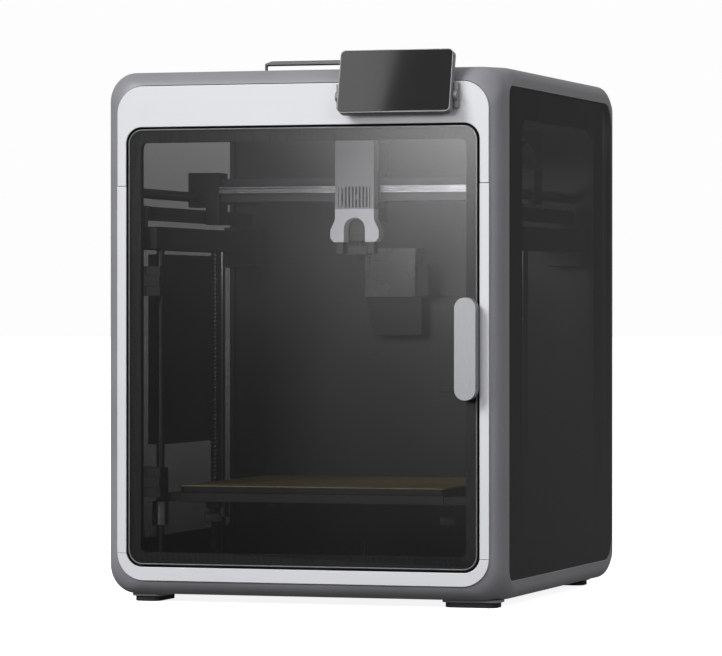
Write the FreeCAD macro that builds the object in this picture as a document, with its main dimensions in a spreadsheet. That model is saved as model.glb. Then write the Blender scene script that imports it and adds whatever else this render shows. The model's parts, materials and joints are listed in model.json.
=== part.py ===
import FreeCAD, Part
import math
import os

import Sketcher
from FreeCAD import Placement, Rotation, Vector

# Driving dimensions, in millimetres and degrees. Heights count from the floor, depths from
# the front plane of the case, and widths from the middle plane.
DIMENSIONS = {
    # case
    "case_width": 404, "case_depth": 436, "case_top": 517.6, "case_floor": 7.5,
    "front_plane": -209.7, "ring_radius": 27, "ring_round": 12.5, "ring_depth": 24,
    "back_round": 40, "back_shell_start": 396, "shell_wall": 4,
    "roof_edge_round": 11, "roof_low": 500.8, "tray_top": 25.2, "tray_floor": 3.5,
    "outer_margin": 5, "tray_wall": 8, "holder_half": 11, "holder_tall": 12, "shell_lead": 20,
    "lead_round": 0.5, "shell_reach": 10,
    # side walls
    "panel_thick": 3.5, "panel_front": 24.3, "panel_back": 424, "panel_low": 25.5,
    "panel_high": 500.5, "panel_radius": 12, "panel_back_radius": 28, "frame_thick": 4.5,
    "window_front": 84, "window_back": 359, "window_low": 58, "window_high": 470,
    "window_radius": 10, "fit_gap": 0.3,
    # front frame
    "bezel_half": 188.6, "bezel_low": 21.4, "bezel_high": 503.5, "bezel_radius": 27,
    "bezel_thick": 2.5, "door_hole_half": 179.5, "door_hole_low": 34.75,
    "door_hole_high": 463.4, "door_hole_radius": 16, "seam_low": 48, "seam_high": 406,
    "seam_gap": 0.4, "recess_half": 184, "recess_depth": 22.6, "sheet_half": 170,
    "sheet_low": 45, "sheet_high": 452,
    "recess_play": 4, "doorway_radius": 10,
    # rear wall
    "wall_vent_left": 60, "wall_vent_right": 140, "wall_vent_low": 400, "wall_vent_high": 470,
    "wall_cover_left": 31, "wall_cover_right": 60, "wall_cover_low": 200,
    "wall_cover_high": 299, "wall_cover_deep": 3, "board_left": -150, "board_low": 90,
    "board_high": 200, "board_thick": 1.6, "post_long": 8, "post_radius": 3, "post_inset": 6,
    "supply_left": 20, "supply_right": 84, "supply_low": 90, "supply_high": 290,
    "supply_deep": 36,
    # door
    "glass_half": 177, "glass_low": 37.2, "glass_high": 461.3, "glass_radius": 14,
    "glass_thick": 3, "door_border": 12, "border_thick": 3, "pivot_from_middle": 163,
    "pivot_depth": 8.4, "knuckle_radius": 2.2, "pin_radius": 1.2, "pin_play": 0.05,
    "hinge_height": 29, "lower_hinge": 102.5, "upper_hinge": 299,
    "grip_left": 158, "grip_right": 179, "grip_low": 199.3, "grip_high": 297,
    "grip_proud": 13, "grip_foot": 1.6, "grip_round": 10.3, "foot_inset": 3, "foot_edge": 1,
    "foot_back": 12, "border_drop": 1.3, "border_round": 6, "strap_long": 16,
    "strap_thick": 1.6, "neck_reach": 16.5, "neck_thick": 6, "neck_over": 2,
    "knuckle_gap": 0.1,
    # screen
    "screen_left": 42.6, "screen_right": 155.2, "screen_tall": 62.2, "screen_thick": 9.6,
    "screen_lean": 13.4, "screen_front": -19.6, "screen_low": 473.6, "screen_glass": 1.6,
    "screen_rim": 0.8, "screen_radius": 5, "bracket_radius": 5, "bracket_height": 489.5,
    "bracket_depth": -6.2, "bracket_gap": 0.4, "bracket_thick": 4, "bracket_half": 12,
    "screen_pin": 2, "screen_pin_long": 7, "screen_pin_in": 6, "screen_pin_out": 1.4,
    "bore_end": 0.5,
    # lid
    "lid_half": 176, "lid_front": 52, "lid_back": 398, "lid_ledge": 6, "lid_thick": 4,
    "lid_rim": 14, "lid_radius": 12, "lid_proud": 1.6, "lid_back_gap": 3, "lid_front_band": 22,
    "lid_pane_thick": 3, "bar_half": 62, "bar_depth": 75, "bar_high": 530.1,
    "bar_thick": 4.4, "bar_deep": 11, "bar_leg": 2.4, "bar_leg_deep": 3.6,
    "bar_slope": 7, "bar_end": 2.4,
    # feet
    "foot_tall": 5, "foot_long": 52, "foot_wide": 26, "foot_lip": 2.5, "foot_round": 8,
    "foot_left": 166.3, "foot_left_depth": 47, "foot_right": 162.6, "foot_right_depth": 37.5,
    "foot_rear": 157, "foot_rear_depth": 386,
    # motion
    "rail_half": 175, "rod_height": 400, "rod_radius": 5, "rod_play": 0.05,
    "rear_wall": 366, "wall_thick": 2.5, "beam_inner": 156, "beam_low": 345,
    "beam_high": 367, "beam_end": 322, "column_half": 161, "column_radius": 4,
    "front_column": 47, "rear_column": 226, "screw_depth": 205, "screw_radius": 4,
    "belt_low": 374, "belt_tall": 13, "belt_thick": 1.2, "pulley_radius": 6,
    "idler_depth": 42, "motor_depth": 344, "motor_side": 36, "motor_tall": 40,
    "gantry_front": 187, "gantry_back": 215, "gantry_low": 372, "gantry_high": 425,
    "rail_height": 407, "rail_tall": 7,
    "nozzle_depth": 190, "nozzle_tip": 335,
    # tool head
    "head_front": 171, "head_low": 353.5, "head_high": 458.2, "head_top_half": 20,
    "head_mid_half": 20.5, "head_flare_half": 25.5, "head_flare_height": 372,
    "head_foot_half": 22, "cover_thick": 16, "arch_half": 11, "arch_top": 378,
    "vent_low": 388, "vent_high": 409, "vent_half": 16.5, "vent_wide": 1.9,
    "vent_deep": 2.4,
    # bed
    "bed_half": 135, "bed_front": 32, "bed_back": 302, "bed_top": 113.6,
    "sheet_thick": 1.2, "heater_thick": 6, "bed_strip": 9,
    "bearing_radius": 8, "bearing_tall": 24, "knob_radius": 9, "knob_tall": 8,
    "bed_corner": 4, "pan_rim": 14, "pan_skin": 2.5, "arm_half": 13, "nut_arm_half": 10,
    "arm_tall": 8, "nut_radius": 9, "nut_tall": 14, "knob_half": 122, "knob_front": 60,
    "knob_back": 18, "bolt_long": 24, "bolt_radius": 2, "spring_radius": 4.5,
    # waste chute and wiper
    "chute_left": -42, "chute_right": 13, "chute_low": 299, "chute_high": 350,
    "chute_deep": 28, "chute_wall": 3, "ramp_right": 19, "ramp_turn": -33, "ramp_low": 259,
    "ramp_deep": 24, "wiper_left": 15, "wiper_right": 31, "wiper_arm_low": 300,
    "wiper_arm_high": 304, "wiper_high": 333, "wiper_deep": 34, "blade_thick": 5,
    # box, camera and light on the walls
    "wall_box_thick": 16, "wall_box_front": 100, "wall_box_back": 271, "wall_box_low": 151,
    "wall_box_high": 341, "camera_left": -164, "camera_right": -136, "camera_low": 459,
    "camera_high": 481, "camera_deep": 14, "lens_radius": 5, "light_half": 120,
    "light_low": 470, "light_high": 482, "light_deep": 6,
    # mains inlet and switch
    "inlet_left": 92, "inlet_right": 149, "inlet_low": 37, "inlet_high": 75, "inlet_rim": 3,
    "socket_right": 119, "socket_deep": 22, "blade_side": 2, "blade_tall": 4,
    "rocker_left": 123, "rocker_right": 143, "rocker_low": 45, "rocker_high": 67,
    "rocker_thick": 8, "rocker_axle": 1.4,
    # exhaust fan
    "fan_middle": 100, "fan_height": 435, "fan_half": 40, "fan_thick": 20, "tunnel_radius": 36,
    "stator_radius": 8, "spoke_half": 1.5, "rotor_hub": 12, "rotor_reach": 34,
    "rotor_front": 4, "rotor_deep": 8, "vent_first": 300, "vent_pitch": 12, "vent_tall": 5,
    # lift motor
    "lift_half": 21, "lift_tall": 24, "shaft_long": 16, "shaft_radius": 2.5,
    # gantry's blocks, beam and rail
    "block_inner": 150, "block_outer_low": 164, "block_over": 8, "rail_deep": 8,
    "tube_half": 12, "tube_wall": 2, "groove_half": 1.4, "groove_deep": 1.2,
    # tool head's inside
    "duct_inner": 13, "duct_wide": 7, "duct_low": 342, "duct_front": 3, "duct_deep": 12,
    "fan_high": 398.5, "cooler_radius": 14.5, "cooler_thick": 6, "cavity_radius": 15.5,
    "cavity_deep": 9.5, "rail_gap": 18, "slider_half": 19, "slider_tall": 11,
    "carrier_half": 20, "carrier_deep": 36, "carrier_low": 374, "tie_deep": 7,
    "drive_height": 436, "drive_radius": 15, "drive_deep": 16, "sink_half": 8,
    "sink_low": 355, "throat_radius": 3, "heater_half": 10, "heater_low": 341,
    "heater_high": 350, "nozzle_radius": 3.5, "nozzle_mouth": 0.6,
}

COLUMN_OF_NAMES, COLUMN_OF_VALUES = "A", "B"
VENT_COUNT, HEAD_SLITS, ROTOR_BLADES, ARCH_SIDES = 9, 10, 7, 10


class Size:
    """A length read from the sheet or worked out from others: its number and its expression."""

    def __init__(self, value, text):
        self.value = float(value)
        self.text = text

    def __add__(self, other):
        other = as_size(other)
        return Size(self.value + other.value, f"({self.text} + {other.text})")

    def __sub__(self, other):
        other = as_size(other)
        return Size(self.value - other.value, f"({self.text} - {other.text})")

    def __mul__(self, factor):
        factor = as_size(factor)
        return Size(self.value * factor.value, f"({self.text} * {factor.text})")

    def __truediv__(self, factor):
        factor = as_size(factor)
        return Size(self.value / factor.value, f"({self.text} / {factor.text})")

    def __radd__(self, other):
        return as_size(other) + self

    def __rsub__(self, other):
        return as_size(other) - self

    def __neg__(self):
        return Size(-self.value, f"(-1 * {self.text})")


def as_size(value):
    return value if isinstance(value, Size) else Size(value, repr(float(value)))


class Sheet:
    """The document's spreadsheet; each dimension is an attribute."""

    def __init__(self, document, dimensions):
        self.cells = document.addObject("Spreadsheet::Sheet", "Sizes")
        for row, (name, value) in enumerate(dimensions.items(), start=1):
            self.cells.set(f"{COLUMN_OF_NAMES}{row}", name)
            self.cells.set(f"{COLUMN_OF_VALUES}{row}", str(value))
            self.cells.setAlias(f"{COLUMN_OF_VALUES}{row}", name)
            setattr(self, name, Size(value, f"Sizes.{name}"))


doc = FreeCAD.newDocument("printer")
mm = Sheet(doc, DIMENSIONS)
doc.recompute()
sub_parts = []


def depth(value):
    """The row's Y of a depth behind the front plane."""
    return mm.front_plane + value


def keep(piece):
    """Mark a finished piece as a sub-part; its name is its label and its file."""
    piece.Label = piece.Name
    sub_parts.append(piece)
    return piece


def bind(item, path, size):
    item.setExpression(path, as_size(size).text)


def place(item, position):
    for letter, value in zip("xyz", position):
        bind(item, f"Placement.Base.{letter}", value)


# ---- primitives and booleans -------------------------------------------------------------

def box(name, across, along, up):
    piece = doc.addObject("Part::Box", name)
    for path, (low, high) in zip(("Length", "Width", "Height"), (across, along, up)):
        bind(piece, path, as_size(high) - low)
    place(piece, (across[0], along[0], up[0]))
    return piece


TURNS = {"X": Rotation(Vector(0, 1, 0), 90), "Y": Rotation(Vector(1, 0, 0), -90), "Z": Rotation()}


def rod(name, start, length, radius, axis="Z"):
    piece = doc.addObject("Part::Cylinder", name)
    piece.Placement = Placement(Vector(), TURNS[axis])
    bind(piece, "Radius", radius)
    bind(piece, "Height", length)
    place(piece, start)
    return piece


def cone(name, start, length, low_radius, high_radius):
    piece = doc.addObject("Part::Cone", name)
    bind(piece, "Radius1", low_radius)
    bind(piece, "Radius2", high_radius)
    bind(piece, "Height", length)
    place(piece, start)
    return piece


def fuse(name, *pieces):
    result = doc.addObject("Part::MultiFuse", name)
    result.Shapes = list(pieces)
    result.Refine = True
    return result


def cut(name, base, *tools):
    result = doc.addObject("Part::Cut", name)
    result.Base = base
    result.Tool = tools[0] if len(tools) == 1 else fuse(f"{name}_tools", *tools)
    result.Refine = True
    return result


def common(name, first, second):
    result = doc.addObject("Part::MultiCommon", name)
    result.Shapes = [first, second]
    return result


def group(name, *pieces):
    """Separate equal solids that share one sub-part."""
    result = doc.addObject("Part::Compound", name)
    result.Links = list(pieces)
    return result


# ---- sketched bodies ---------------------------------------------------------------------

def new_sketch(body, name, role, offset):
    """A sketch parallel to one of the body's own planes; the offset runs along its normal."""
    sketch = body.newObject("Sketcher::SketchObject", name)
    plane = next(item for item in body.Origin.OriginFeatures if item.Role == role)
    sketch.AttachmentSupport = [(plane, "")]
    sketch.MapMode = "FlatFace"
    bind(sketch, "AttachmentOffset.Base.z", offset)
    return sketch


def dimension(sketch, kind, value, *where):
    """A driving constraint bound to the sheet."""
    value = as_size(value)
    number = sketch.addConstraint(Sketcher.Constraint(kind, *where, value.value))
    sketch.setExpression(f"Constraints[{number}]", value.text)


def outline(sketch, points):
    """A closed outline of straight lines; both coordinates of each corner are bound."""
    corners = [Vector(as_size(x).value, as_size(y).value, 0) for x, y in points]
    count = len(corners)
    lines = [sketch.addGeometry(Part.LineSegment(corners[i], corners[(i + 1) % count]))
             for i in range(count)]
    for i, line in enumerate(lines):
        sketch.addConstraint(Sketcher.Constraint("Coincident", line, 2, lines[(i + 1) % count], 1))
    for line, (x, y) in zip(lines, points):
        dimension(sketch, "DistanceX", x, -1, 1, line, 1)
        dimension(sketch, "DistanceY", y, -1, 1, line, 1)


def rounded(sketch, left, right, low, high, radius, far_radius=None):
    """A rectangle with round corners; the right-hand corners may have a radius of their own."""
    left, right, low, high = (as_size(value) for value in (left, right, low, high))
    near, far = as_size(radius), as_size(radius if far_radius is None else far_radius)
    corners = [  # centre, radius, start angle
        (left.value + near.value, low.value + near.value, near, 180),
        (right.value - far.value, low.value + far.value, far, 270),
        (right.value - far.value, high.value - far.value, far, 0),
        (left.value + near.value, high.value - near.value, near, 90),
    ]
    arcs, ends = [], []
    for x, y, bend, start in corners:
        turn = math.radians(start)
        circle = Part.Circle(Vector(x, y, 0), Vector(0, 0, 1), bend.value)
        arcs.append(sketch.addGeometry(Part.ArcOfCircle(circle, turn, turn + math.pi / 2)))
        reach = [(x + bend.value * math.cos(a), y + bend.value * math.sin(a))
                 for a in (turn, turn + math.pi / 2)]
        ends.append([Vector(px, py, 0) for px, py in reach])
    lines = [sketch.addGeometry(Part.LineSegment(ends[i][1], ends[(i + 1) % 4][0]))
             for i in range(4)]
    for i in range(4):
        sketch.addConstraint(Sketcher.Constraint("Tangent", arcs[i], 2, lines[i], 1))
        sketch.addConstraint(Sketcher.Constraint("Tangent", lines[i], 2, arcs[(i + 1) % 4], 1))
        sketch.addConstraint(Sketcher.Constraint(("Horizontal", "Vertical")[i % 2], lines[i]))
    dimension(sketch, "Radius", near, arcs[0])
    dimension(sketch, "Radius", far, arcs[1])
    sketch.addConstraint(Sketcher.Constraint("Equal", arcs[1], arcs[2]))
    sketch.addConstraint(Sketcher.Constraint("Equal", arcs[0], arcs[3]))
    dimension(sketch, "DistanceY", low, -1, 1, lines[0], 1)
    dimension(sketch, "DistanceX", right, -1, 1, lines[1], 1)
    dimension(sketch, "DistanceY", high, -1, 1, lines[2], 1)
    dimension(sketch, "DistanceX", left, -1, 1, lines[3], 1)


def pad(body, name, role, low, high):
    """A sketch and its pad between two offsets; the sketch is filled in by the caller."""
    flipped = role == "XZ_Plane"  # this plane's normal points to the front
    sketch = new_sketch(body, f"{name}_outline", role, -as_size(high) if flipped else low)
    feature = body.newObject("PartDesign::Pad", name)
    feature.Profile = sketch
    bind(feature, "Length", as_size(high) - low)
    return sketch


def pocket(body, name, role, low, high):
    """A sketch and its pocket between two offsets, cut back against the sketch's normal."""
    flipped = role == "XZ_Plane"
    sketch = new_sketch(body, f"{name}_outline", role, -as_size(low) if flipped else high)
    feature = body.newObject("PartDesign::Pocket", name)
    feature.Profile = sketch
    bind(feature, "Length", as_size(high) - low)
    return sketch


def new_body(name):
    return doc.addObject("PartDesign::Body", name)


def round_edges(body, name, radius, chosen):
    """A fillet on the edges of the body's last feature for which chosen(edge) holds."""
    doc.recompute()
    base = body.Tip
    names = [f"Edge{i}" for i, edge in enumerate(base.Shape.Edges, start=1) if chosen(edge)]
    feature = body.newObject("PartDesign::Fillet", name)
    feature.Base = (base, names)
    bind(feature, "Radius", radius)
    doc.recompute()
    return feature


def lies_at(edge, axis, value, play=0.01):
    """Whether the whole edge lies in one plane across an axis."""
    box_of_edge = edge.BoundBox
    low = getattr(box_of_edge, f"{axis}Min")
    high = getattr(box_of_edge, f"{axis}Max")
    return abs(low - value.value) < play and abs(high - value.value) < play


# ---- case --------------------------------------------------------------------------------

def make_envelope():
    """The case's outer shape behind the front ring, with round edges along the roof and floor."""
    half = mm.case_width / 2
    body = new_body("case_envelope")
    sketch = pad(body, "envelope", "XZ_Plane", depth(mm.ring_depth), depth(mm.case_depth))
    rounded(sketch, -half, half, mm.case_floor, mm.case_top, mm.roof_edge_round)
    doc.recompute()
    return body


def make_case():
    half = mm.case_width / 2
    ring_back = depth(mm.ring_depth)
    envelope = make_envelope()

    ring = new_body("front_ring")
    sketch = pad(ring, "ring", "XZ_Plane", depth(0), ring_back)
    rounded(sketch, -half, half, mm.case_floor, mm.case_top, mm.ring_radius)
    sketch = pocket(ring, "ring_hole", "XZ_Plane", depth(0), ring_back)
    rounded(sketch, -mm.bezel_half, mm.bezel_half, mm.bezel_low, mm.bezel_high, mm.bezel_radius)
    front = as_size(depth(0))
    outer = (mm.bezel_half + mm.outer_margin).value
    above = (mm.bezel_high + mm.outer_margin).value
    below = (mm.bezel_low - mm.outer_margin).value

    def is_outer(edge):
        """Whether the edge lies in the front plane and outside the bezel."""
        span = edge.BoundBox
        outside = (span.XMax > outer or span.XMin < -outer
                   or span.ZMax > above or span.ZMin < below)
        return outside and lies_at(edge, "Y", front)

    round_edges(ring, "ring_round", mm.ring_round, is_outer)
    keep(ring)

    roof = box("roof_plate", (-half, half), (ring_back, depth(mm.back_shell_start)),
               (mm.roof_low, mm.case_top))
    hole = box("roof_hole", (-mm.lid_half + mm.lid_ledge, mm.lid_half - mm.lid_ledge),
               (depth(mm.lid_front + mm.lid_ledge), depth(mm.back_shell_start)),
               (mm.roof_low, mm.case_top))
    seat = box("roof_seat", (-mm.lid_half - mm.fit_gap, mm.lid_half + mm.fit_gap),
               (depth(mm.lid_front) - mm.fit_gap, depth(mm.back_shell_start)),
               (mm.case_top - mm.lid_thick, mm.case_top))
    keep(common("roof_frame", cut("roof_open", roof, hole, seat), envelope))

    tray = box("tray_block", (-half, half), (ring_back, depth(mm.back_shell_start)),
               (mm.case_floor, mm.tray_top))
    inner = mm.case_width / 2 - mm.tray_wall
    hollow = box("tray_hollow", (-inner, inner), (ring_back, depth(mm.back_shell_start)),
                 (mm.case_floor + mm.tray_floor, mm.tray_top))
    floor = mm.case_floor + mm.tray_floor
    holders = []
    for sign in (1, -1):
        x, y = mm.column_half * sign, depth(mm.screw_depth)
        seat = box(f"holder_block_{sign + 1}", (x - mm.holder_half, x + mm.holder_half),
                   (y - mm.holder_half, y + mm.holder_half), (floor, floor + mm.holder_tall))
        bore = rod(f"holder_bore_{sign + 1}", (x, y, floor), mm.holder_tall * 2,
                   mm.screw_radius + mm.rod_play)
        holders.append(cut(f"holder_{sign + 1}", seat, bore))
    keep(fuse("base_tray", common("tray_round", cut("tray", tray, hollow), envelope), *holders))

    shell = new_body("rear_shell_body")
    start = depth(mm.back_shell_start)
    sketch = pad(shell, "shell", "YZ_Plane", -half, half)
    rounded(sketch, start - mm.shell_lead, depth(mm.case_depth), mm.case_floor, mm.case_top,
            mm.lead_round, mm.back_round)
    back = depth(mm.case_depth)
    inside = pocket(shell, "shell_hollow", "YZ_Plane", -half + mm.shell_wall, half - mm.shell_wall)
    rounded(inside, start - mm.shell_lead, back - mm.shell_wall, mm.case_floor + mm.shell_wall,
            mm.case_top - mm.shell_wall, mm.lead_round, mm.back_round - mm.shell_wall)
    doc.recompute()
    gap = mm.fit_gap
    recess = box("panel_recess", (-half, half), (start, depth(mm.panel_back) + gap),
                 (mm.panel_low - gap, mm.panel_high + gap))
    keep_core = box("shell_core", (-half + mm.panel_thick, half - mm.panel_thick),
                    (start, depth(mm.panel_back) + gap), (mm.panel_low - gap, mm.panel_high + gap))
    slots = cut("shell_side_slots", recess, keep_core)
    inlet = box("inlet_hole", (mm.inlet_left + mm.inlet_rim, mm.inlet_right - mm.inlet_rim),
                (back - mm.shell_reach, back + 1),
                (mm.inlet_low + mm.inlet_rim, mm.inlet_high - mm.inlet_rim))
    vents = []
    for i in range(VENT_COUNT):
        low = mm.vent_first + mm.vent_pitch * i
        vents.append(box(f"vent_slot_{i}",
                         (mm.fan_middle - mm.fan_half, mm.fan_middle + mm.fan_half),
                         (back - mm.shell_reach, back + 1), (low, low + mm.vent_tall)))
    front_cut = box("shell_front_cut", (-half, half), (start - mm.shell_lead - 1, start),
                    (mm.case_floor, mm.case_top))
    keep(common("rear_shell", cut("shell_open", shell, front_cut, slots, inlet, *vents), envelope))

    frames = []
    for side, sign in (("right", 1), ("left", -1)):
        panel = new_body(f"side_panel_{side}")
        low_x, high_x = ((half - mm.panel_thick, half) if sign > 0
                         else (-half, -half + mm.panel_thick))
        sketch = pad(panel, f"panel_{side}", "YZ_Plane", low_x, high_x)
        rounded(sketch, depth(mm.panel_front), depth(mm.panel_back), mm.panel_low,
                mm.panel_high, mm.panel_radius, mm.panel_back_radius)
        keep(panel)
        frame = new_body(f"side_frame_{side}")
        low_x, high_x = ((half - mm.panel_thick - mm.frame_thick, half - mm.panel_thick)
                         if sign > 0 else
                         (-half + mm.panel_thick, -half + mm.panel_thick + mm.frame_thick))
        sketch = pad(frame, f"frame_{side}", "YZ_Plane", low_x, high_x)
        outline(sketch, [(ring_back, mm.tray_top), (start, mm.tray_top),
                         (start, mm.roof_low), (ring_back, mm.roof_low)])
        rounded(sketch, depth(mm.window_front), depth(mm.window_back), mm.window_low,
                mm.window_high, mm.window_radius)
        frames.append(frame)
    doc.recompute()
    keep(group("side_frames", *frames))


def make_front_frame():
    ring = new_body("bezel_ring")
    front = depth(0)
    sketch = pad(ring, "bezel", "XZ_Plane", front, front + mm.bezel_thick)
    rounded(sketch, -mm.bezel_half, mm.bezel_half, mm.bezel_low, mm.bezel_high, mm.bezel_radius)
    rounded(sketch, -mm.door_hole_half, mm.door_hole_half, mm.door_hole_low,
            mm.door_hole_high, mm.door_hole_radius)
    half_gap, reach = mm.seam_gap / 2, mm.case_width / 2
    spans = {
        "bezel_bottom": ((-reach, reach), (0, mm.seam_low - half_gap)),
        "bezel_left": ((-reach, 0), (mm.seam_low + half_gap, mm.seam_high - half_gap)),
        "bezel_right": ((0, reach), (mm.seam_low + half_gap, mm.seam_high - half_gap)),
        "bezel_top": ((-reach, reach), (mm.seam_high + half_gap, mm.case_top)),
    }
    pieces = {}
    for name, (across, up) in spans.items():
        span = box(f"{name}_span", across, (front - mm.bezel_thick, front + mm.bezel_thick * 2), up)
        pieces[name] = common(name, ring, span)
    keep(pieces["bezel_top"])
    keep(pieces["bezel_bottom"])
    keep(group("bezel_sides", pieces["bezel_left"], pieces["bezel_right"]))

    frame = new_body("inner_frame")
    low, back = front + mm.bezel_thick, depth(mm.ring_depth)
    sketch = pad(frame, "inner_block", "XZ_Plane", low, back)
    rounded(sketch, -mm.bezel_half, mm.bezel_half, mm.bezel_low, mm.bezel_high, mm.bezel_radius)
    sketch = pocket(frame, "recess", "XZ_Plane", low, depth(mm.recess_depth))
    rounded(sketch, -mm.recess_half, mm.recess_half, mm.door_hole_low - mm.recess_play,
            mm.door_hole_high + mm.recess_play, mm.door_hole_radius)
    sketch = pocket(frame, "doorway", "XZ_Plane", depth(mm.recess_depth), back)
    rounded(sketch, -mm.sheet_half, mm.sheet_half, mm.sheet_low, mm.sheet_high,
            mm.doorway_radius)
    keep(frame)


def make_rear_wall():
    half = mm.case_width / 2 - mm.panel_thick - mm.frame_thick
    wall = mm.rear_wall
    sheet = box("wall_sheet", (-half, half), (depth(wall), depth(wall) + mm.wall_thick),
                (mm.tray_top, mm.roof_low))
    hole = box("wall_vent", (mm.wall_vent_left, mm.wall_vent_right),
               (depth(wall) - 1, depth(wall) + mm.wall_thick + 1),
               (mm.wall_vent_low, mm.wall_vent_high))
    cover = box("wall_cover", (mm.wall_cover_left, mm.wall_cover_right),
                (depth(wall) - mm.wall_cover_deep, depth(wall)),
                (mm.wall_cover_low, mm.wall_cover_high))
    keep(fuse("rear_wall_sheet", cut("wall_pane", sheet, hole), cover))
    behind = depth(wall) + mm.wall_thick
    board_face = behind + mm.post_long
    board = box("board", (mm.board_left, 0), (board_face, board_face + mm.board_thick),
                (mm.board_low, mm.board_high))
    posts = []
    for x in (mm.board_left + mm.post_inset, -mm.post_inset):
        for z in (mm.board_low + mm.post_inset, mm.board_high - mm.post_inset):
            posts.append(rod(f"board_post_{len(posts)}", (x, behind, z), mm.post_long,
                             mm.post_radius, "Y"))
    keep(fuse("mainboard", board, *posts))
    keep(box("power_supply", (mm.supply_left, mm.supply_right), (behind, behind + mm.supply_deep),
             (mm.supply_low, mm.supply_high)))


def make_feet():
    floor = mm.case_floor
    places = [(-mm.foot_left, mm.foot_left_depth, False),
              (mm.foot_right, mm.foot_right_depth, True),
              (-mm.foot_rear, mm.foot_rear_depth, True), (mm.foot_rear, mm.foot_rear_depth, True)]
    bases, pads = [], []
    for i, (x, y, across) in enumerate(places):
        long, wide = mm.foot_long / 2, mm.foot_wide / 2
        half_x, half_y = (long, wide) if across else (wide, long)
        lip = mm.foot_lip
        center_y = depth(y)
        base = new_body(f"foot_base_{i}")
        sketch = pad(base, f"foot_plate_{i}", "XY_Plane", mm.foot_tall, floor)
        rounded(sketch, x - half_x - lip, x + half_x + lip, center_y - half_y - lip,
                center_y + half_y + lip, mm.foot_round)
        bases.append(base)
        rubber = new_body(f"foot_pad_{i}")
        sketch = pad(rubber, f"foot_rubber_{i}", "XY_Plane", 0, mm.foot_tall)
        rounded(sketch, x - half_x, x + half_x, center_y - half_y, center_y + half_y,
                mm.foot_round)
        pads.append(rubber)
    keep(group("foot_bases", *bases))
    keep(group("rubber_feet", *pads))


# ---- door, screen and lid ----------------------------------------------------------------

def make_door():
    front = depth(0)
    border = mm.door_border
    glass = new_body("door_glass")
    sketch = pad(glass, "door_pane", "XZ_Plane", front, front + mm.glass_thick)
    rounded(sketch, -mm.glass_half, mm.glass_half, mm.glass_low, mm.glass_high, mm.glass_radius)
    keep(glass)
    rim = new_body("door_border")
    back = front + mm.glass_thick + mm.border_thick
    sketch = pad(rim, "border", "XZ_Plane", front + mm.glass_thick, back)
    rounded(sketch, -mm.glass_half, mm.glass_half, mm.glass_low, mm.glass_high, mm.glass_radius)
    rounded(sketch, -mm.glass_half + border, mm.glass_half - border, mm.glass_low + border,
            mm.glass_high - border - mm.border_drop, mm.border_round)
    keep(rim)
    grip = new_body("door_grip_body")
    sketch = pad(grip, "grip", "XZ_Plane", front - mm.grip_proud, front - mm.grip_foot)
    rounded(sketch, mm.grip_left, mm.grip_right, mm.grip_low, mm.grip_high,
            mm.grip_round)
    doc.recompute()
    foot = box("grip_foot_pad", (mm.grip_left + mm.foot_inset, mm.glass_half - mm.foot_edge),
               (front - mm.grip_foot, front),
               (mm.grip_low + mm.foot_back, mm.grip_high - mm.foot_back))
    keep(fuse("door_grip", grip, foot))

    pivot_x, pivot_y = -mm.pivot_from_middle, depth(mm.pivot_depth)
    tall = mm.hinge_height
    ring_back = depth(mm.ring_depth)
    leaves, blocks = [], []
    for i, low in enumerate((mm.lower_hinge, mm.upper_hinge)):
        third = tall / 3
        barrel = rod(f"leaf_barrel_{i}", (pivot_x, pivot_y, low + third), third, mm.knuckle_radius)
        strap = box(f"leaf_strap_{i}", (pivot_x, pivot_x + mm.strap_long),
                    (back, back + mm.strap_thick),
                    (low + third, low + third * 2))
        hole = rod(f"leaf_hole_{i}", (pivot_x, pivot_y, low), tall, mm.pin_radius + mm.pin_play)
        leaves.append(cut(f"leaf_{i}", fuse(f"leaf_solid_{i}", barrel, strap), hole))
        neck_right, neck_back = pivot_x + mm.neck_reach, ring_back + mm.neck_thick
        arm_face = pivot_y + mm.knuckle_radius
        pieces = [
            rod(f"pin_{i}", (pivot_x, pivot_y, low), tall, mm.pin_radius),
            box(f"neck_side_{i}", (neck_right - mm.neck_thick, neck_right), (arm_face, neck_back),
                (low, low + tall)),
            box(f"neck_back_{i}", (-mm.recess_half - mm.neck_over, neck_right),
                (ring_back, neck_back),
                (low, low + tall)),
        ]
        for j, start in enumerate((as_size(low), low + third * 2 + mm.knuckle_gap)):
            pieces.append(rod(f"neck_barrel_{i}_{j}", (pivot_x, pivot_y, start), third - mm.knuckle_gap,
                              mm.knuckle_radius))
            pieces.append(box(f"neck_arm_{i}_{j}", (pivot_x, neck_right),
                              (pivot_y - mm.pin_radius, arm_face),
                              (start, start + third - mm.knuckle_gap)))
        blocks.append(fuse(f"block_{i}", *pieces))
    keep(group("door_leaves", *leaves))
    keep(group("hinge_blocks", *blocks))


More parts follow.
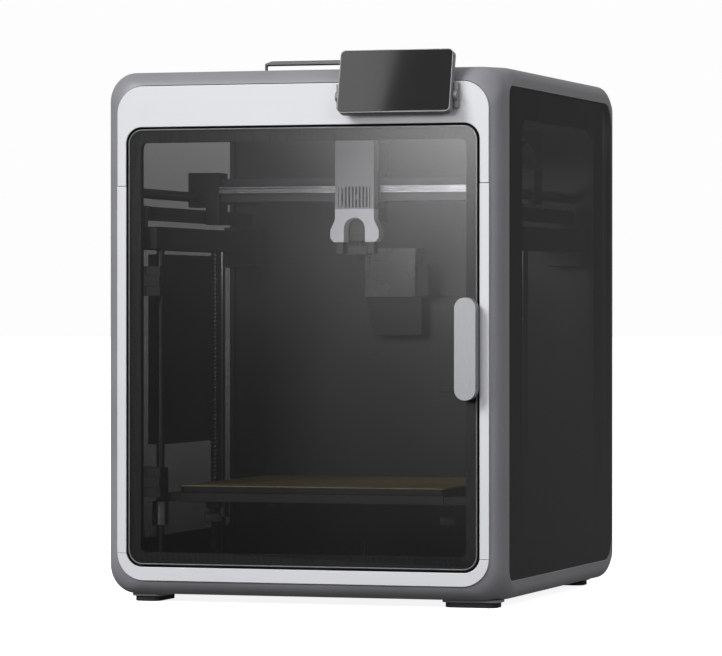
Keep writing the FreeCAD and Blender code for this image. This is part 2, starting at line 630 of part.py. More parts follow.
def make_screen():
    turn = Rotation(Vector(1, 0, 0), -mm.screen_lean.value)
    corner = Vector(mm.screen_left.value, depth(mm.screen_front).value, mm.screen_low.value)
    wide = mm.screen_right - mm.screen_left
    rim = mm.screen_rim

    def tilted(item):
        """Stand a body on the screen's lower front edge and lean it back."""
        item.Placement = Placement(corner, turn)
        return item

    shell = new_body("screen_shell_body")
    sketch = pad(shell, "screen_block", "XZ_Plane", 0, mm.screen_thick)
    rounded(sketch, 0, wide, 0, mm.screen_tall, mm.screen_radius)
    sketch = pocket(shell, "screen_seat", "XZ_Plane", 0, mm.screen_glass)
    rounded(sketch, rim, wide - rim, rim, mm.screen_tall - rim, mm.screen_radius - rim)
    doc.recompute()
    tilted(shell)
    glass = new_body("screen_glass")
    sketch = pad(glass, "screen_pane", "XZ_Plane", 0, mm.screen_glass)
    rounded(sketch, rim, wide - rim, rim, mm.screen_tall - rim, mm.screen_radius - rim)
    keep(tilted(glass))

    pivot_y, pivot_z = depth(mm.bracket_depth), mm.bracket_height
    right, left = mm.screen_right, mm.screen_left
    gap, thick = mm.bracket_gap, mm.bracket_thick
    height = (pivot_z - mm.bracket_half, pivot_z + mm.bracket_half)
    cheeks = []
    for side, hub_start, pin_start in (("right", right + gap, right - mm.screen_pin_in),
                                       ("left", left - gap - thick, left - mm.screen_pin_out)):
        hub = rod(f"bracket_hub_{side}", (hub_start, pivot_y, pivot_z), thick,
                  mm.bracket_radius, "X")
        plate = box(f"bracket_plate_{side}", (hub_start, hub_start + thick),
                    (pivot_y, depth(0)), height)
        pin = rod(f"bracket_pin_{side}", (pin_start, pivot_y, pivot_z), mm.screen_pin_long,
                  mm.screen_pin, "X")
        cheeks.append(fuse(f"bracket_{side}", hub, plate, pin))
    keep(group("screen_bracket", *cheeks))
    bores = [rod(f"screen_bore_{i}", (x, pivot_y, pivot_z), mm.screen_pin_long + 1,
                 mm.screen_pin + mm.pin_play, "X")
             for i, x in enumerate((right - mm.screen_pin_in - mm.bore_end, left - 1))]
    keep(cut("screen_shell", shell, *bores))


def make_lid():
    half, rim = mm.lid_half, mm.lid_rim
    low, rim_top = mm.case_top - mm.lid_thick, mm.case_top + mm.lid_proud
    front, back = depth(mm.lid_front), depth(mm.lid_back) - mm.lid_back_gap
    pane_front = front + rim + mm.lid_front_band

    def pane_outline(sketch):
        rounded(sketch, -half + rim, half - rim, pane_front, back - rim, mm.lid_radius)

    body = new_body("lid_frame")
    sketch = pad(body, "lid_rim_pad", "XY_Plane", low, rim_top)
    rounded(sketch, -half, half, front, back, mm.lid_radius)
    pane_outline(sketch)
    keep(body)
    glass = new_body("lid_glass")
    pane_outline(pad(glass, "lid_pane", "XY_Plane", low, low + mm.lid_pane_thick))
    keep(glass)
    top, bar = mm.bar_high, mm.bar_half
    y = depth(mm.bar_depth)
    span = new_body("lid_bar")
    sketch = pad(span, "lid_bar_pad", "XZ_Plane", y, y + mm.bar_deep)
    slope, end = mm.bar_slope, top - mm.bar_end
    outline(sketch, [(-bar, top - mm.bar_thick), (bar, top - mm.bar_thick), (bar, end),
                     (bar - slope, top), (-bar + slope, top), (-bar, end)])
    legs = [box(f"lid_leg_{i}", (x, x + mm.bar_leg), (y, y + mm.bar_leg_deep),
                (rim_top, top - mm.bar_thick))
            for i, x in enumerate((-bar, bar - mm.bar_leg))]
    keep(fuse("lid_handle", span, *legs))


# ---- fixed motion parts ------------------------------------------------------------------

def both_sides(name, maker):
    """maker(sign, label) builds one solid at each side; the two share a sub-part."""
    return keep(group(name, maker(1, f"{name}_right"), maker(-1, f"{name}_left")))


def span_x(sign, inner, outer):
    """A span across the case, from inner to outer, on the chosen side."""
    return (inner, outer) if sign > 0 else (-as_size(outer), -as_size(inner))


def make_motion_frame():
    wall = depth(mm.rear_wall)
    sheet_back = depth(mm.ring_depth)
    frame_face = mm.case_width / 2 - mm.panel_thick - mm.frame_thick
    both_sides("gantry_rods", lambda sign, label: rod(
        label, (mm.rail_half * sign, sheet_back, mm.rod_height),
        mm.rear_wall - mm.ring_depth, mm.rod_radius, "Y"))
    both_sides("side_beams", lambda sign, label: box(
        label, span_x(sign, mm.beam_inner, frame_face), (sheet_back, depth(mm.beam_end)),
        (mm.beam_low, mm.beam_high)))
    floor = mm.case_floor + mm.tray_floor
    columns = []
    for sign in (1, -1):
        for place_name, y in (("front", mm.front_column), ("rear", mm.rear_column)):
            columns.append(rod(f"column_{place_name}_{sign + 1}",
                               (mm.column_half * sign, depth(y), floor),
                               mm.beam_low - floor, mm.column_radius))
    keep(group("bed_columns", *columns))

    belts, idlers, motors = [], [], []
    low, tall = mm.belt_low, mm.belt_tall
    for sign in (1, -1):
        for i, away in enumerate((-mm.pulley_radius - mm.belt_thick, mm.pulley_radius)):
            start = mm.rail_half * sign + away
            belts.append(box(f"belt_run_{i}_{sign + 1}", (start, start + mm.belt_thick),
                             (depth(mm.idler_depth), depth(mm.motor_depth)), (low, low + tall)))
        x = mm.rail_half * sign
        stem = rod(f"idler_stem_{sign + 1}", (x, depth(mm.idler_depth), mm.beam_high),
                   low - mm.beam_high + tall + 1, 2.5)
        wheel = rod(f"idler_wheel_{sign + 1}", (x, depth(mm.idler_depth), low - 0.5), tall + 1,
                    mm.pulley_radius)
        idlers.append(fuse(f"idler_{sign + 1}", stem, wheel))
        half = mm.motor_side / 2
        top = low - 4
        body = box(f"motor_body_{sign + 1}", (x - half, x + half),
                   (depth(mm.motor_depth) - half, depth(mm.motor_depth) + half),
                   (top - mm.motor_tall, top))
        plate = box(f"motor_plate_{sign + 1}", (x - half, x + half),
                    (depth(mm.motor_depth) - half, wall), (top, top + 2))
        pulley = rod(f"motor_pulley_{sign + 1}", (x, depth(mm.motor_depth), top + 2), tall + 2,
                     mm.pulley_radius)
        motors.append(fuse(f"motor_{sign + 1}", body, plate, pulley))
    keep(group("drive_belts", *belts))
    keep(group("belt_idlers", *idlers))
    keep(group("belt_motors", *motors))

    screw_y = depth(mm.screw_depth)
    motor = box("lift_motor", (-mm.lift_half, mm.lift_half),
                (screw_y - mm.lift_half, screw_y + mm.lift_half), (floor, floor + mm.lift_tall))
    shaft = rod("lift_motor_shaft", (0, screw_y, floor + mm.lift_tall), mm.shaft_long,
                mm.shaft_radius)
    keep(fuse("bed_motor", motor, shaft))


def make_fittings():
    make_chute()
    make_wall_fittings()
    make_inlet()
    make_exhaust()


def make_chute():
    wall = depth(mm.rear_wall)
    skin = mm.chute_wall
    chute = box("chute_box", (mm.chute_left, mm.chute_right), (wall - mm.chute_deep, wall),
                (mm.chute_low, mm.chute_high))
    mouth = box("chute_mouth", (mm.chute_left + skin, mm.chute_right - skin),
                (wall - mm.chute_deep + skin, wall - skin),
                (mm.chute_low - skin, mm.chute_high + skin))
    keep(cut("waste_chute", chute, mouth))
    ramp = new_body("waste_ramp")
    sketch = pad(ramp, "ramp", "XZ_Plane", wall - mm.ramp_deep, wall)
    outline(sketch, [(mm.chute_left, mm.chute_low), (mm.ramp_turn, mm.ramp_low),
                     (mm.ramp_right, mm.ramp_low), (mm.ramp_right, mm.chute_low)])
    sketch = pocket(ramp, "ramp_hollow", "XZ_Plane", wall - mm.ramp_deep + skin, wall - skin)
    outline(sketch, [(mm.chute_left + skin * 2, mm.chute_low + 0.5),
                     (mm.ramp_turn + skin, mm.ramp_low - 0.5),
                     (mm.ramp_right - skin, mm.ramp_low - 0.5),
                     (mm.ramp_right - skin, mm.chute_low + 0.5)])
    keep(ramp)
    front = wall - mm.wiper_deep
    arm = box("wiper_arm", (mm.wiper_left, mm.wiper_right), (front, wall),
              (mm.wiper_arm_low, mm.wiper_arm_high))
    blade = box("wiper_blade", (mm.wiper_left + 2, mm.wiper_right - 2),
                (front + 1, front + 1 + mm.blade_thick), (mm.wiper_arm_high, mm.wiper_high))
    keep(fuse("nozzle_wiper", arm, blade))


def make_wall_fittings():
    frame_face = -(mm.case_width / 2 - mm.panel_thick - mm.frame_thick)
    keep(box("wall_box", (frame_face, frame_face + mm.wall_box_thick),
             (depth(mm.wall_box_front), depth(mm.wall_box_back)),
             (mm.wall_box_low, mm.wall_box_high)))
    sheet_back = depth(mm.ring_depth)
    lens = rod("camera_lens", ((mm.camera_left + mm.camera_right) / 2,
                               sheet_back + mm.camera_deep, (mm.camera_low + mm.camera_high) / 2),
               3, mm.lens_radius, "Y")
    body = box("camera_body", (mm.camera_left, mm.camera_right),
               (sheet_back, sheet_back + mm.camera_deep), (mm.camera_low, mm.camera_high))
    keep(fuse("camera", body, lens))
    keep(box("light_bar", (-mm.light_half, mm.light_half),
             (sheet_back, sheet_back + mm.light_deep), (mm.light_low, mm.light_high)))


def make_inlet():
    back = depth(mm.case_depth)
    edge = mm.inlet_rim
    low, high = mm.inlet_low + edge * 2, mm.inlet_high - edge * 2
    rim = box("inlet_rim", (mm.inlet_left, mm.inlet_right), (back, back + 2),
              (mm.inlet_low, mm.inlet_high))
    core = box("inlet_core", (mm.inlet_left + edge, mm.socket_right),
               (back - mm.socket_deep, back), (low - 2, high + 2))
    cavity = box("inlet_cavity", (mm.inlet_left + edge * 2, mm.socket_right - 2.5),
                 (back - mm.socket_deep + 4, back + 3), (low + 1, high - 1))
    middle = (low + high) / 2
    spots = [(mm.inlet_left + edge * 3, middle - 6), (mm.inlet_left + edge * 3, middle + 2),
             (mm.inlet_left + edge * 6, middle - 2)]
    blades = [box(f"inlet_blade_{i}", (x, x + mm.blade_side),
                  (back - mm.socket_deep + 3, back - 4), (z, z + mm.blade_tall))
              for i, (x, z) in enumerate(spots)]
    switch_hole = box("inlet_switch_hole", (mm.rocker_left - 1, mm.rocker_right + 1),
                      (back - 4, back + 3), (mm.rocker_low - 1, mm.rocker_high + 1))
    walls = cut("inlet_walls", fuse("inlet_solid", rim, core), cavity, switch_hole)
    keep(fuse("power_inlet", walls, *blades))
    rocker = box("rocker_block", (mm.rocker_left, mm.rocker_right),
                 (back + 3 - mm.rocker_thick, back + 3), (mm.rocker_low, mm.rocker_high))
    axle = rod("rocker_axle", (mm.rocker_left - 0.6, back - 1.5,
                               (mm.rocker_low + mm.rocker_high) / 2),
               mm.rocker_right - mm.rocker_left + 1.2, mm.rocker_axle, "X")
    keep(fuse("power_rocker", rocker, axle))


def make_exhaust():
    start = depth(mm.rear_wall) + mm.wall_thick
    x, z, half = mm.fan_middle, mm.fan_height, mm.fan_half
    end = start + mm.fan_thick
    across, up = (x - half, x + half), (z - half, z + half)
    frame = box("fan_frame_block", across, (start, end), up)
    tunnel = rod("fan_tunnel", (x, start - 1, z), mm.fan_thick + 2, mm.tunnel_radius, "Y")
    hub = rod("fan_stator", (x, end - 6, z), 6, mm.stator_radius, "Y")
    spokes = [box("fan_spoke_a", across, (end - 3, end), (z - mm.spoke_half, z + mm.spoke_half)),
              box("fan_spoke_b", (x - mm.spoke_half, x + mm.spoke_half), (end - 3, end), up)]
    keep(fuse("exhaust_fan", cut("fan_ring", frame, tunnel), hub, *spokes))
    core = rod("rotor_core", (x, start + 2, z), 11.7, mm.rotor_hub, "Y")
    front = start + mm.rotor_front
    copies = [box("rotor_blade", (x, x + mm.rotor_reach), (front, front + mm.rotor_deep),
                  (z - 1, z + 1))]
    axis = Vector(x.value, front.value, z.value)
    for i in range(1, ROTOR_BLADES):
        copy = doc.addObject("Part::Box", f"rotor_blade_{i}")
        for path in ("Length", "Width", "Height"):
            copy.setExpression(path, f"rotor_blade.{path}")
        turn = Rotation(Vector(0, 1, 0), 360 / ROTOR_BLADES * i)
        copy.Placement = Placement(turn.multVec(Vector(0, 0, -1)) + axis, turn)
        copies.append(copy)
    blades = doc.addObject("Part::MultiFuse", "rotor_blades")
    blades.Shapes = copies
    keep(fuse("exhaust_rotor", core, blades))


# ---- gantry and tool head ----------------------------------------------------------------

def make_gantry():
    front, back = depth(mm.gantry_front), depth(mm.gantry_back)
    low, high = mm.gantry_low, mm.gantry_high
    belt_top = mm.belt_low + mm.belt_tall + 3
    for side, sign in (("right", 1), ("left", -1)):
        upper = box(f"block_upper_{side}",
                    span_x(sign, mm.block_inner, mm.rail_half + mm.block_over),
                    (front, back), (belt_top, high))
        lower = box(f"block_lower_{side}", span_x(sign, mm.block_inner, mm.block_outer_low),
                    (front, back), (low, belt_top))
        bore = rod(f"block_bore_{side}", (mm.rail_half * sign, front, mm.rod_height),
                   mm.gantry_back - mm.gantry_front, mm.rod_radius + mm.rod_play, "Y")
        keep(cut(f"gantry_block_{side}", fuse(f"block_body_{side}", upper, lower), bore))
    across, z = (-mm.block_inner, mm.block_inner), mm.rail_height
    start = front + mm.rail_deep
    inside = mm.tube_half - mm.tube_wall
    tube = box("tube_outer", across, (start, back), (z - mm.tube_half, z + mm.tube_half))
    bore = box("tube_inner", across, (start + mm.tube_wall, back - mm.tube_wall),
               (z - inside, z + inside))
    keep(cut("gantry_beam", tube, bore))
    rail = box("rail_block", across, (front, start), (z - mm.rail_tall / 2, z + mm.rail_tall / 2))
    groove = box("rail_groove", (-mm.block_inner - 1, mm.block_inner + 1),
                 (front - 1, front + mm.groove_deep), (z - mm.groove_half, z + mm.groove_half))
    keep(cut("gantry_rail", rail, groove))


def make_head():
    make_cover()
    make_carrier()
    make_hot_end()


def make_cover():
    face = depth(mm.head_front)
    back = face + mm.cover_thick
    cover = new_body("head_cover_body")
    sketch = pad(cover, "cover", "XZ_Plane", face, back)
    flare, foot = mm.head_flare_half, mm.head_foot_half
    top, mid = mm.head_top_half, mm.head_mid_half
    lower = mm.head_low
    shape = [(foot, lower), (flare, lower + 4), (flare, lower + 12), (mid, mm.head_flare_height + 4),
             (mid, mm.head_high - 12), (top, mm.head_high)]
    outline(sketch, shape + [(-x, z) for x, z in reversed(shape)])
    sketch = pocket(cover, "arch", "XZ_Plane", face, back)
    radius = mm.arch_half
    centre = mm.arch_top - radius
    turns = [math.radians(180 / ARCH_SIDES * i) for i in range(ARCH_SIDES + 1)]
    outline(sketch, [(-radius, lower - 1), (radius, lower - 1)]
            + [(radius * math.cos(a), centre + radius * math.sin(a)) for a in turns])
    step = mm.vent_half * 2 / (HEAD_SLITS - 1)
    sketch = pocket(cover, "vents", "XZ_Plane", face, face + mm.vent_deep)
    for i in range(HEAD_SLITS):
        middle = -mm.vent_half + step * i
        outline(sketch, [(middle - mm.vent_wide / 2, mm.vent_low),
                         (middle + mm.vent_wide / 2, mm.vent_low),
                         (middle + mm.vent_wide / 2, mm.vent_high),
                         (middle - mm.vent_wide / 2, mm.vent_high)])
    sketch = pocket(cover, "rail_clearance", "XZ_Plane", depth(mm.gantry_front) - 3, back)
    reach, z, gap = mm.carrier_half * 2, mm.rail_height, mm.rail_gap
    outline(sketch, [(-reach, z - gap), (reach, z - gap), (reach, z + gap), (-reach, z + gap)])
    doc.recompute()
    wide = mm.duct_wide
    ducts = [box(f"air_duct_{i}", (x, x + wide),
                 (face + mm.duct_front, face + mm.duct_front + mm.duct_deep),
                 (mm.duct_low, lower))
             for i, x in enumerate((-mm.duct_inner - wide, mm.duct_inner))]
    hole = face + mm.vent_deep
    cavity = rod("fan_cavity", (0, hole, mm.fan_high), mm.cavity_deep, mm.cavity_radius, "Y")
    axle = rod("fan_axle", (0, hole + 1.6, mm.fan_high), mm.cavity_deep - 1, mm.pin_radius + 0.8,
               "Y")
    keep(fuse("head_cover", cut("cover_open", cover, cavity), axle, *ducts))
    disc = rod("fan_disc", (0, hole + 2, mm.fan_high), mm.cooler_thick, mm.cooler_radius, "Y")
    bore = rod("fan_bore", (0, hole + 1.6, mm.fan_high), mm.cavity_deep,
               mm.pin_radius + 0.8 + mm.pin_play, "Y")
    keep(cut("head_fan_rotor", disc, bore))


def make_carrier():
    front = depth(mm.gantry_front)
    z, half = mm.rail_height, mm.slider_half
    bite = mm.rail_tall / 2 + mm.fit_gap
    bridge = box("slider_block", (-half, half), (front - 3, front + 7),
                 (z - mm.slider_tall, z + mm.slider_tall))
    channel = box("slider_channel", (-half - 1, half + 1),
                  (front - mm.fit_gap, front + mm.rail_deep), (z - bite, z + bite))
    keep(cut("rail_slider", bridge, channel))
    start = depth(mm.head_front) + mm.cover_thick
    end = start + mm.carrier_deep
    top, low = mm.head_high - 4, mm.carrier_low
    upper = box("carrier_upper", (-mm.carrier_half, mm.carrier_half), (start, end),
                (z + mm.rail_gap, top))
    lower = box("carrier_lower", (-half, half), (start, end), (low, z - mm.rail_gap))
    tie = box("carrier_tie", (-half, half), (end - mm.tie_deep, end), (low, top))
    motor = rod("drive_motor", (0, end, mm.drive_height), mm.drive_deep, mm.drive_radius, "Y")
    keep(fuse("head_carrier", upper, lower, tie, motor))


def make_hot_end():
    y, half = depth(mm.nozzle_depth), mm.sink_half
    sink = box("heat_sink", (-half, half), (y - half + 1, y + half - 2),
               (mm.sink_low, mm.carrier_low))
    throat = rod("heat_throat", (0, y, mm.heater_high - 1), 6, mm.throat_radius)
    block = box("heater_block", (-mm.heater_half, mm.heater_half), (y - half, y + half),
                (mm.heater_low, mm.heater_high))
    tip = cone("nozzle_cone", (0, y, mm.nozzle_tip), 6, mm.nozzle_mouth, mm.nozzle_radius)
    keep(fuse("hot_end", sink, throat, block, tip))


# ---- bed ---------------------------------------------------------------------------------

def make_bed():
    half, front, back = mm.bed_half, depth(mm.bed_front), depth(mm.bed_back)
    top = mm.bed_top
    under = top - mm.sheet_thick
    sheet = new_body("build_sheet")
    sketch = pad(sheet, "sheet", "XY_Plane", under, top)
    rounded(sketch, -half, half, front, back, mm.bed_corner)
    keep(sheet)
    heater = new_body("heated_plate")
    sketch = pad(heater, "heater", "XY_Plane", under - mm.heater_thick, under)
    rounded(sketch, -half, half, front, back, mm.bed_corner)
    keep(heater)
    low = under - mm.heater_thick - mm.bed_strip
    high = under - mm.heater_thick
    pan = box("pan_plate", (-half + 1, half - 1), (front + 1, back - 1), (low, high))
    rim = mm.pan_rim
    hollow = box("pan_hollow", (-half + rim, half - rim), (front + rim, back - rim),
                 (low, high - mm.pan_skin))
    arms = []
    screw_y = depth(mm.screw_depth)
    for sign in (1, -1):
        for i, y in enumerate((mm.front_column, mm.rear_column)):
            arms.append(box(f"bed_arm_{sign + 1}_{i}", span_x(sign, half - 2, mm.column_half),
                            (depth(y) - mm.arm_half, depth(y) + mm.arm_half),
                            (low, low + mm.arm_tall)))
        arms.append(box(f"bed_arm_nut_{sign + 1}", span_x(sign, half - 2, mm.column_half),
                        (screw_y - mm.nut_arm_half, screw_y + mm.nut_arm_half),
                        (low, low + mm.arm_tall)))
    holes, bearings = [], []
    for sign in (1, -1):
        x = mm.column_half * sign
        for i, y in enumerate((mm.front_column, mm.rear_column)):
            holes.append(rod(f"arm_hole_{sign + 1}_{i}", (x, depth(y), low - 10), 40,
                             mm.column_radius + 2))
            shell = rod(f"bearing_shell_{sign + 1}_{i}", (x, depth(y), low - mm.bearing_tall),
                        mm.bearing_tall, mm.bearing_radius)
            bore = rod(f"bearing_bore_{sign + 1}_{i}", (x, depth(y), low - 60), 100,
                       mm.column_radius + mm.rod_play)
            bearings.append(cut(f"bearing_{sign + 1}_{i}", shell, bore))
        holes.append(rod(f"nut_hole_{sign + 1}", (x, screw_y, low - 10), 40,
                         mm.screw_radius + 2))
        shell = rod(f"nut_shell_{sign + 1}", (x, screw_y, low - mm.nut_tall), mm.nut_tall,
                    mm.nut_radius)
        bore = rod(f"nut_bore_{sign + 1}", (x, screw_y, low - 20), 40,
                   mm.screw_radius + mm.rod_play)
        bearings.append(cut(f"nut_{sign + 1}", shell, bore))
    keep(cut("bed_carrier", fuse("carrier_solid", cut("pan", pan, hollow), *arms), *holes))
    keep(group("bed_bearings", *bearings))
    spots = [(x, y) for x in (-mm.knob_half, mm.knob_half)
             for y in (mm.bed_front + mm.knob_front, mm.bed_back - mm.knob_back)]
    knobs = []
    for i, (x, y) in enumerate(spots):
        bottom = low - mm.bolt_long
        bolt = rod(f"knob_bolt_{i}", (x, depth(y), bottom), mm.bolt_long, mm.bolt_radius)
        wheel = rod(f"knob_wheel_{i}", (x, depth(y), bottom + 2), mm.knob_tall, mm.knob_radius)
        top_of_wheel = bottom + 2 + mm.knob_tall
        spring = rod(f"knob_spring_{i}", (x, depth(y), top_of_wheel), low - top_of_wheel,
                     mm.spring_radius)
        knobs.append(fuse(f"knob_{i}", bolt, wheel, spring))
    keep(group("level_knobs", *knobs))

    floor = mm.case_floor + mm.tray_floor
    for side, sign in (("right", 1), ("left", -1)):
        start = floor + 0.3
        x = mm.column_half * sign
        keep(rod(f"lead_screw_{side}", (x, screw_y, start),
                 mm.beam_low - start - 0.5, mm.screw_radius))


def failures():
    """Names of objects that failed to build, and of sub-parts with a bad shape."""
    failed = [item.Name for item in doc.Objects
              if "Invalid" in item.State or "Error" in item.State]
    bad = [piece.Label for piece in sub_parts
           if piece.Shape.isNull() or not piece.Shape.isValid() or not piece.Shape.Solids]
    return failed + bad


def main():
    make_case()
    make_front_frame()
    make_rear_wall()
    make_feet()
    make_door()
    make_screen()
    make_lid()
    make_motion_frame()
    make_fittings()
    make_gantry()
    make_head()
    make_bed()
    doc.recompute()
    bad = failures()
    if bad:
        raise RuntimeError(f"these did not build: {', '.join(bad)}")
    os.makedirs("parts", exist_ok=True)
    for piece in sub_parts:
        piece.Shape.exportStep(f"parts/{piece.Label}.step")
        print(f"{piece.Label}: {len(piece.Shape.Solids)} solids, {piece.Shape.Volume / 1000:.1f} cm3")


main()
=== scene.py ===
import json
import math

import bmesh
import bpy
import numpy as np
from bpy.props import FloatProperty, FloatVectorProperty, IntProperty, PointerProperty
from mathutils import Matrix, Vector

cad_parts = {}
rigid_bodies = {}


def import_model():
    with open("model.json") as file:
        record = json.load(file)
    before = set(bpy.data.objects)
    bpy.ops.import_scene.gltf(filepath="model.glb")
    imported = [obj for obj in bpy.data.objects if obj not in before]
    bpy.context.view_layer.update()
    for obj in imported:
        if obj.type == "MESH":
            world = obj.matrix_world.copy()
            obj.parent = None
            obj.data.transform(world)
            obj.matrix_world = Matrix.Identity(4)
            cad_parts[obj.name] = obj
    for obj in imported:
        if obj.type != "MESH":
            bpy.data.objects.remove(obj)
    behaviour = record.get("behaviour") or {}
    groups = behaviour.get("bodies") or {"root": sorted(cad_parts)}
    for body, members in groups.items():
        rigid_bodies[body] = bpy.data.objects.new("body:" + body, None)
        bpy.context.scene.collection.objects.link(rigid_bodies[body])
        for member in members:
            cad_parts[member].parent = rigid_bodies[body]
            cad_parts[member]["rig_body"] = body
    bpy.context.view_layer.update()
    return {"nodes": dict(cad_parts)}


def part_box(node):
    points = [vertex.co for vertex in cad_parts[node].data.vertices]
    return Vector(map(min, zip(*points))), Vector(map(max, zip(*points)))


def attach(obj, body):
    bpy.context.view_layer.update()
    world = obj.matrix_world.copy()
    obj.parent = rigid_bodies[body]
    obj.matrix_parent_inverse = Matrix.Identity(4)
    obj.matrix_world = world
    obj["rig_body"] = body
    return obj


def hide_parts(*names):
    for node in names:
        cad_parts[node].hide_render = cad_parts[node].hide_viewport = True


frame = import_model()

bl_info = {
    "name": "Enclosed Filament Printer",
    "version": (1, 0, 0),
    "blender": (4, 5, 0),
    "location": "View3D > Sidebar > Printer",
    "description": "Finishes an enclosed desktop filament printer around its construction model",
    "category": "Add Mesh",
}

MM = 0.001
NODES = frame["nodes"]
QUARTER, FULL_TURN = math.pi / 2, 2 * math.pi

# noise: octaves of the fine and the slow pattern, and the range that their sum stays in
FINE_DETAIL, SLOW_DETAIL = 3.0, 2.0
NOISE_RANGE = {"From Min": 0.7, "From Max": 1.3}
BUMP_STRENGTH = 0.6

# meshes: points closer than these are one point, and flatter angles than this are no edge
JOINED, JOINED_CAD = 1e-6, 2e-6
FLAT_ANGLE = math.radians(0.6)

# corners of the construction model, and the clearance round a let-in part
CLEARANCE = 0.3 * MM
PANEL_CORNER, PANEL_REAR_CORNER = 12 * MM, 28 * MM
LID_CORNER, INLET_CORNER, DOOR_CORNER, SHEET_CORNER = 12 * MM, 2 * MM, 14 * MM, 3 * MM


# ---- numbers and colours -----------------------------------------------------------------

def linear(code, alpha=1.0):
    """An sRGB hex code as linear red, green, blue and alpha."""
    parts = np.array([int(code[i:i + 2], 16) for i in (1, 3, 5)]) / 255
    low = parts / 12.92
    high = ((parts + 0.055) / 1.055) ** 2.4
    return (*np.where(parts <= 0.04045, low, high), alpha)


def span(node):
    """A node's lowest and highest corners as arrays."""
    low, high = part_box(node)
    return np.array(low), np.array(high)


# ---- materials ---------------------------------------------------------------------------

def add_node(tree, kind, inputs=None, **settings):
    """A node with its settings; each input takes a value or the socket that feeds it."""
    node = tree.nodes.new(kind)
    for name, value in settings.items():
        setattr(node, name, value)
    for name, value in (inputs or {}).items():
        if isinstance(value, bpy.types.NodeSocket):
            tree.links.new(value, node.inputs[name])
        else:
            node.inputs[name].default_value = value
    return node


def by_height(tree, place, low, high):
    """A number that changes evenly with height; low and high are (height in mm, number)."""
    height = add_node(tree, "ShaderNodeSeparateXYZ", {0: place}).outputs[2]
    return add_node(tree, "ShaderNodeMapRange",
                    {"Value": height, "From Min": low[0] * MM, "From Max": high[0] * MM,
                     "To Min": low[1], "To Max": high[1]}).outputs[0]


def grained(name, dark, light, grain, rough, bump=0.0, stretch=(1, 1, 1), patch=60, alpha=None,
            zone=None, **shader):
    """A surface whose tone, roughness and height follow fine noise and slow patches.

    grain and patch are sizes in millimetres, bump is the height of the grain in millimetres,
    rough is a low and a high roughness, and stretch draws the grain out along an axis. alpha
    is a low and a high (height in mm, alpha) of a graduated tint: painted reflection, a tint
    thinning upwards so that the top looks lighter. zone is (height in mm, colour): the colour
    that takes over below this height.
    """
    material = bpy.data.materials.new(name)
    material.use_nodes = True
    tree = material.node_tree
    tree.nodes.clear()
    place = add_node(tree, "ShaderNodeTexCoord").outputs["Object"]
    drawn = add_node(tree, "ShaderNodeMapping", {"Vector": place, "Scale": stretch})
    fine = add_node(tree, "ShaderNodeTexNoise",
                    {"Vector": drawn.outputs[0], "Scale": 1 / (grain * MM),
                     "Detail": FINE_DETAIL})
    slow = add_node(tree, "ShaderNodeTexNoise",
                    {"Vector": place, "Scale": 1 / (patch * MM), "Detail": SLOW_DETAIL})
    both = add_node(tree, "ShaderNodeMath",
                    {0: fine.outputs[0], 1: slow.outputs[0]}, operation="ADD")
    share = add_node(tree, "ShaderNodeMapRange", {"Value": both.outputs[0], **NOISE_RANGE})
    tone = add_node(tree, "ShaderNodeMix", data_type="RGBA")
    tone.inputs[6].default_value = linear(dark) if isinstance(dark, str) else dark
    tone.inputs[7].default_value = linear(light) if isinstance(light, str) else light
    tree.links.new(share.outputs[0], tone.inputs[0])
    gloss = add_node(tree, "ShaderNodeMapRange",
                     {"Value": both.outputs[0], **NOISE_RANGE,
                      "To Min": rough[0], "To Max": rough[1]})
    sockets = {"Base Color": tone.outputs[2], "Roughness": gloss.outputs[0]}
    if zone:
        lower = add_node(tree, "ShaderNodeMix", data_type="RGBA")
        tree.links.new(by_height(tree, place, (zone[0], 1), (zone[0] + 1, 0)), lower.inputs[0])
        tree.links.new(tone.outputs[2], lower.inputs[6])
        lower.inputs[7].default_value = linear(zone[1])
        sockets["Base Color"] = lower.outputs[2]
    # a graduated alpha is painted reflection: the tint thins upwards so that the side panels' top
    # looks lighter
    if alpha:
        sockets["Alpha"] = by_height(tree, place, *alpha)
    if bump:
        lift = add_node(tree, "ShaderNodeBump",
                        {"Height": fine.outputs[0], "Distance": bump * MM,
                         "Strength": BUMP_STRENGTH})
        sockets["Normal"] = lift.outputs[0]
    body = add_node(tree, "ShaderNodeBsdfPrincipled", {**sockets, **shader})
    add_node(tree, "ShaderNodeOutputMaterial", {"Surface": body.outputs[0]})
    return material


def moulded_abs_grey(dark, light):
    # injection-moulded ABS with a fine spark-eroded texture: even, soft satin grey
    return grained("moulded_abs_grey", dark, light, 0.9, (0.42, 0.5), bump=0.02)


def moulded_abs_black():
    # the same ABS moulded in black: dull, with a faint sheen
    return grained("moulded_abs_black", "#131314", "#1B1B1D", 0.9, (0.5, 0.6), bump=0.02)


def glass_filled_nylon():
    # glass-filled nylon moulded in black: deeper and duller than the ABS
    return grained("glass_filled_nylon", "#0B0B0C", "#111112", 0.9, (0.55, 0.65), bump=0.03)


def black_ceramic_ink():
    # black ceramic ink fired onto the back of the pane
    return grained("black_ceramic_ink", "#070708", "#0B0B0C", 2.0, (0.5, 0.6))


def tinted_acrylic_panel():
    # smoke-tinted acrylic, polished: nearly black, with a tint that thins towards the top; the
    # thinner tint is painted reflection, a lighter top that stands for reflected light
    return grained("tinted_acrylic_panel", "#191C1F", "#1E2124", 120, (0.08, 0.12), patch=300,
                   alpha=((60, 0.88), (470, 0.45)), IOR=1.16)


def tinted_door_glass():
    # tempered glass with a smoke tint: the inside shows through at under half strength
    return grained("tinted_door_glass", "#08080A", "#0B0B0D", 150, (0.2, 0.24), patch=400,
                   IOR=1.5, Alpha=0.36)


def tinted_lid_glass():
    # tempered glass with a darker smoke tint
    return grained("tinted_lid_glass", "#202123", "#27282A", 150, (0.03, 0.05), patch=400,
                   IOR=1.7, Alpha=0.5)


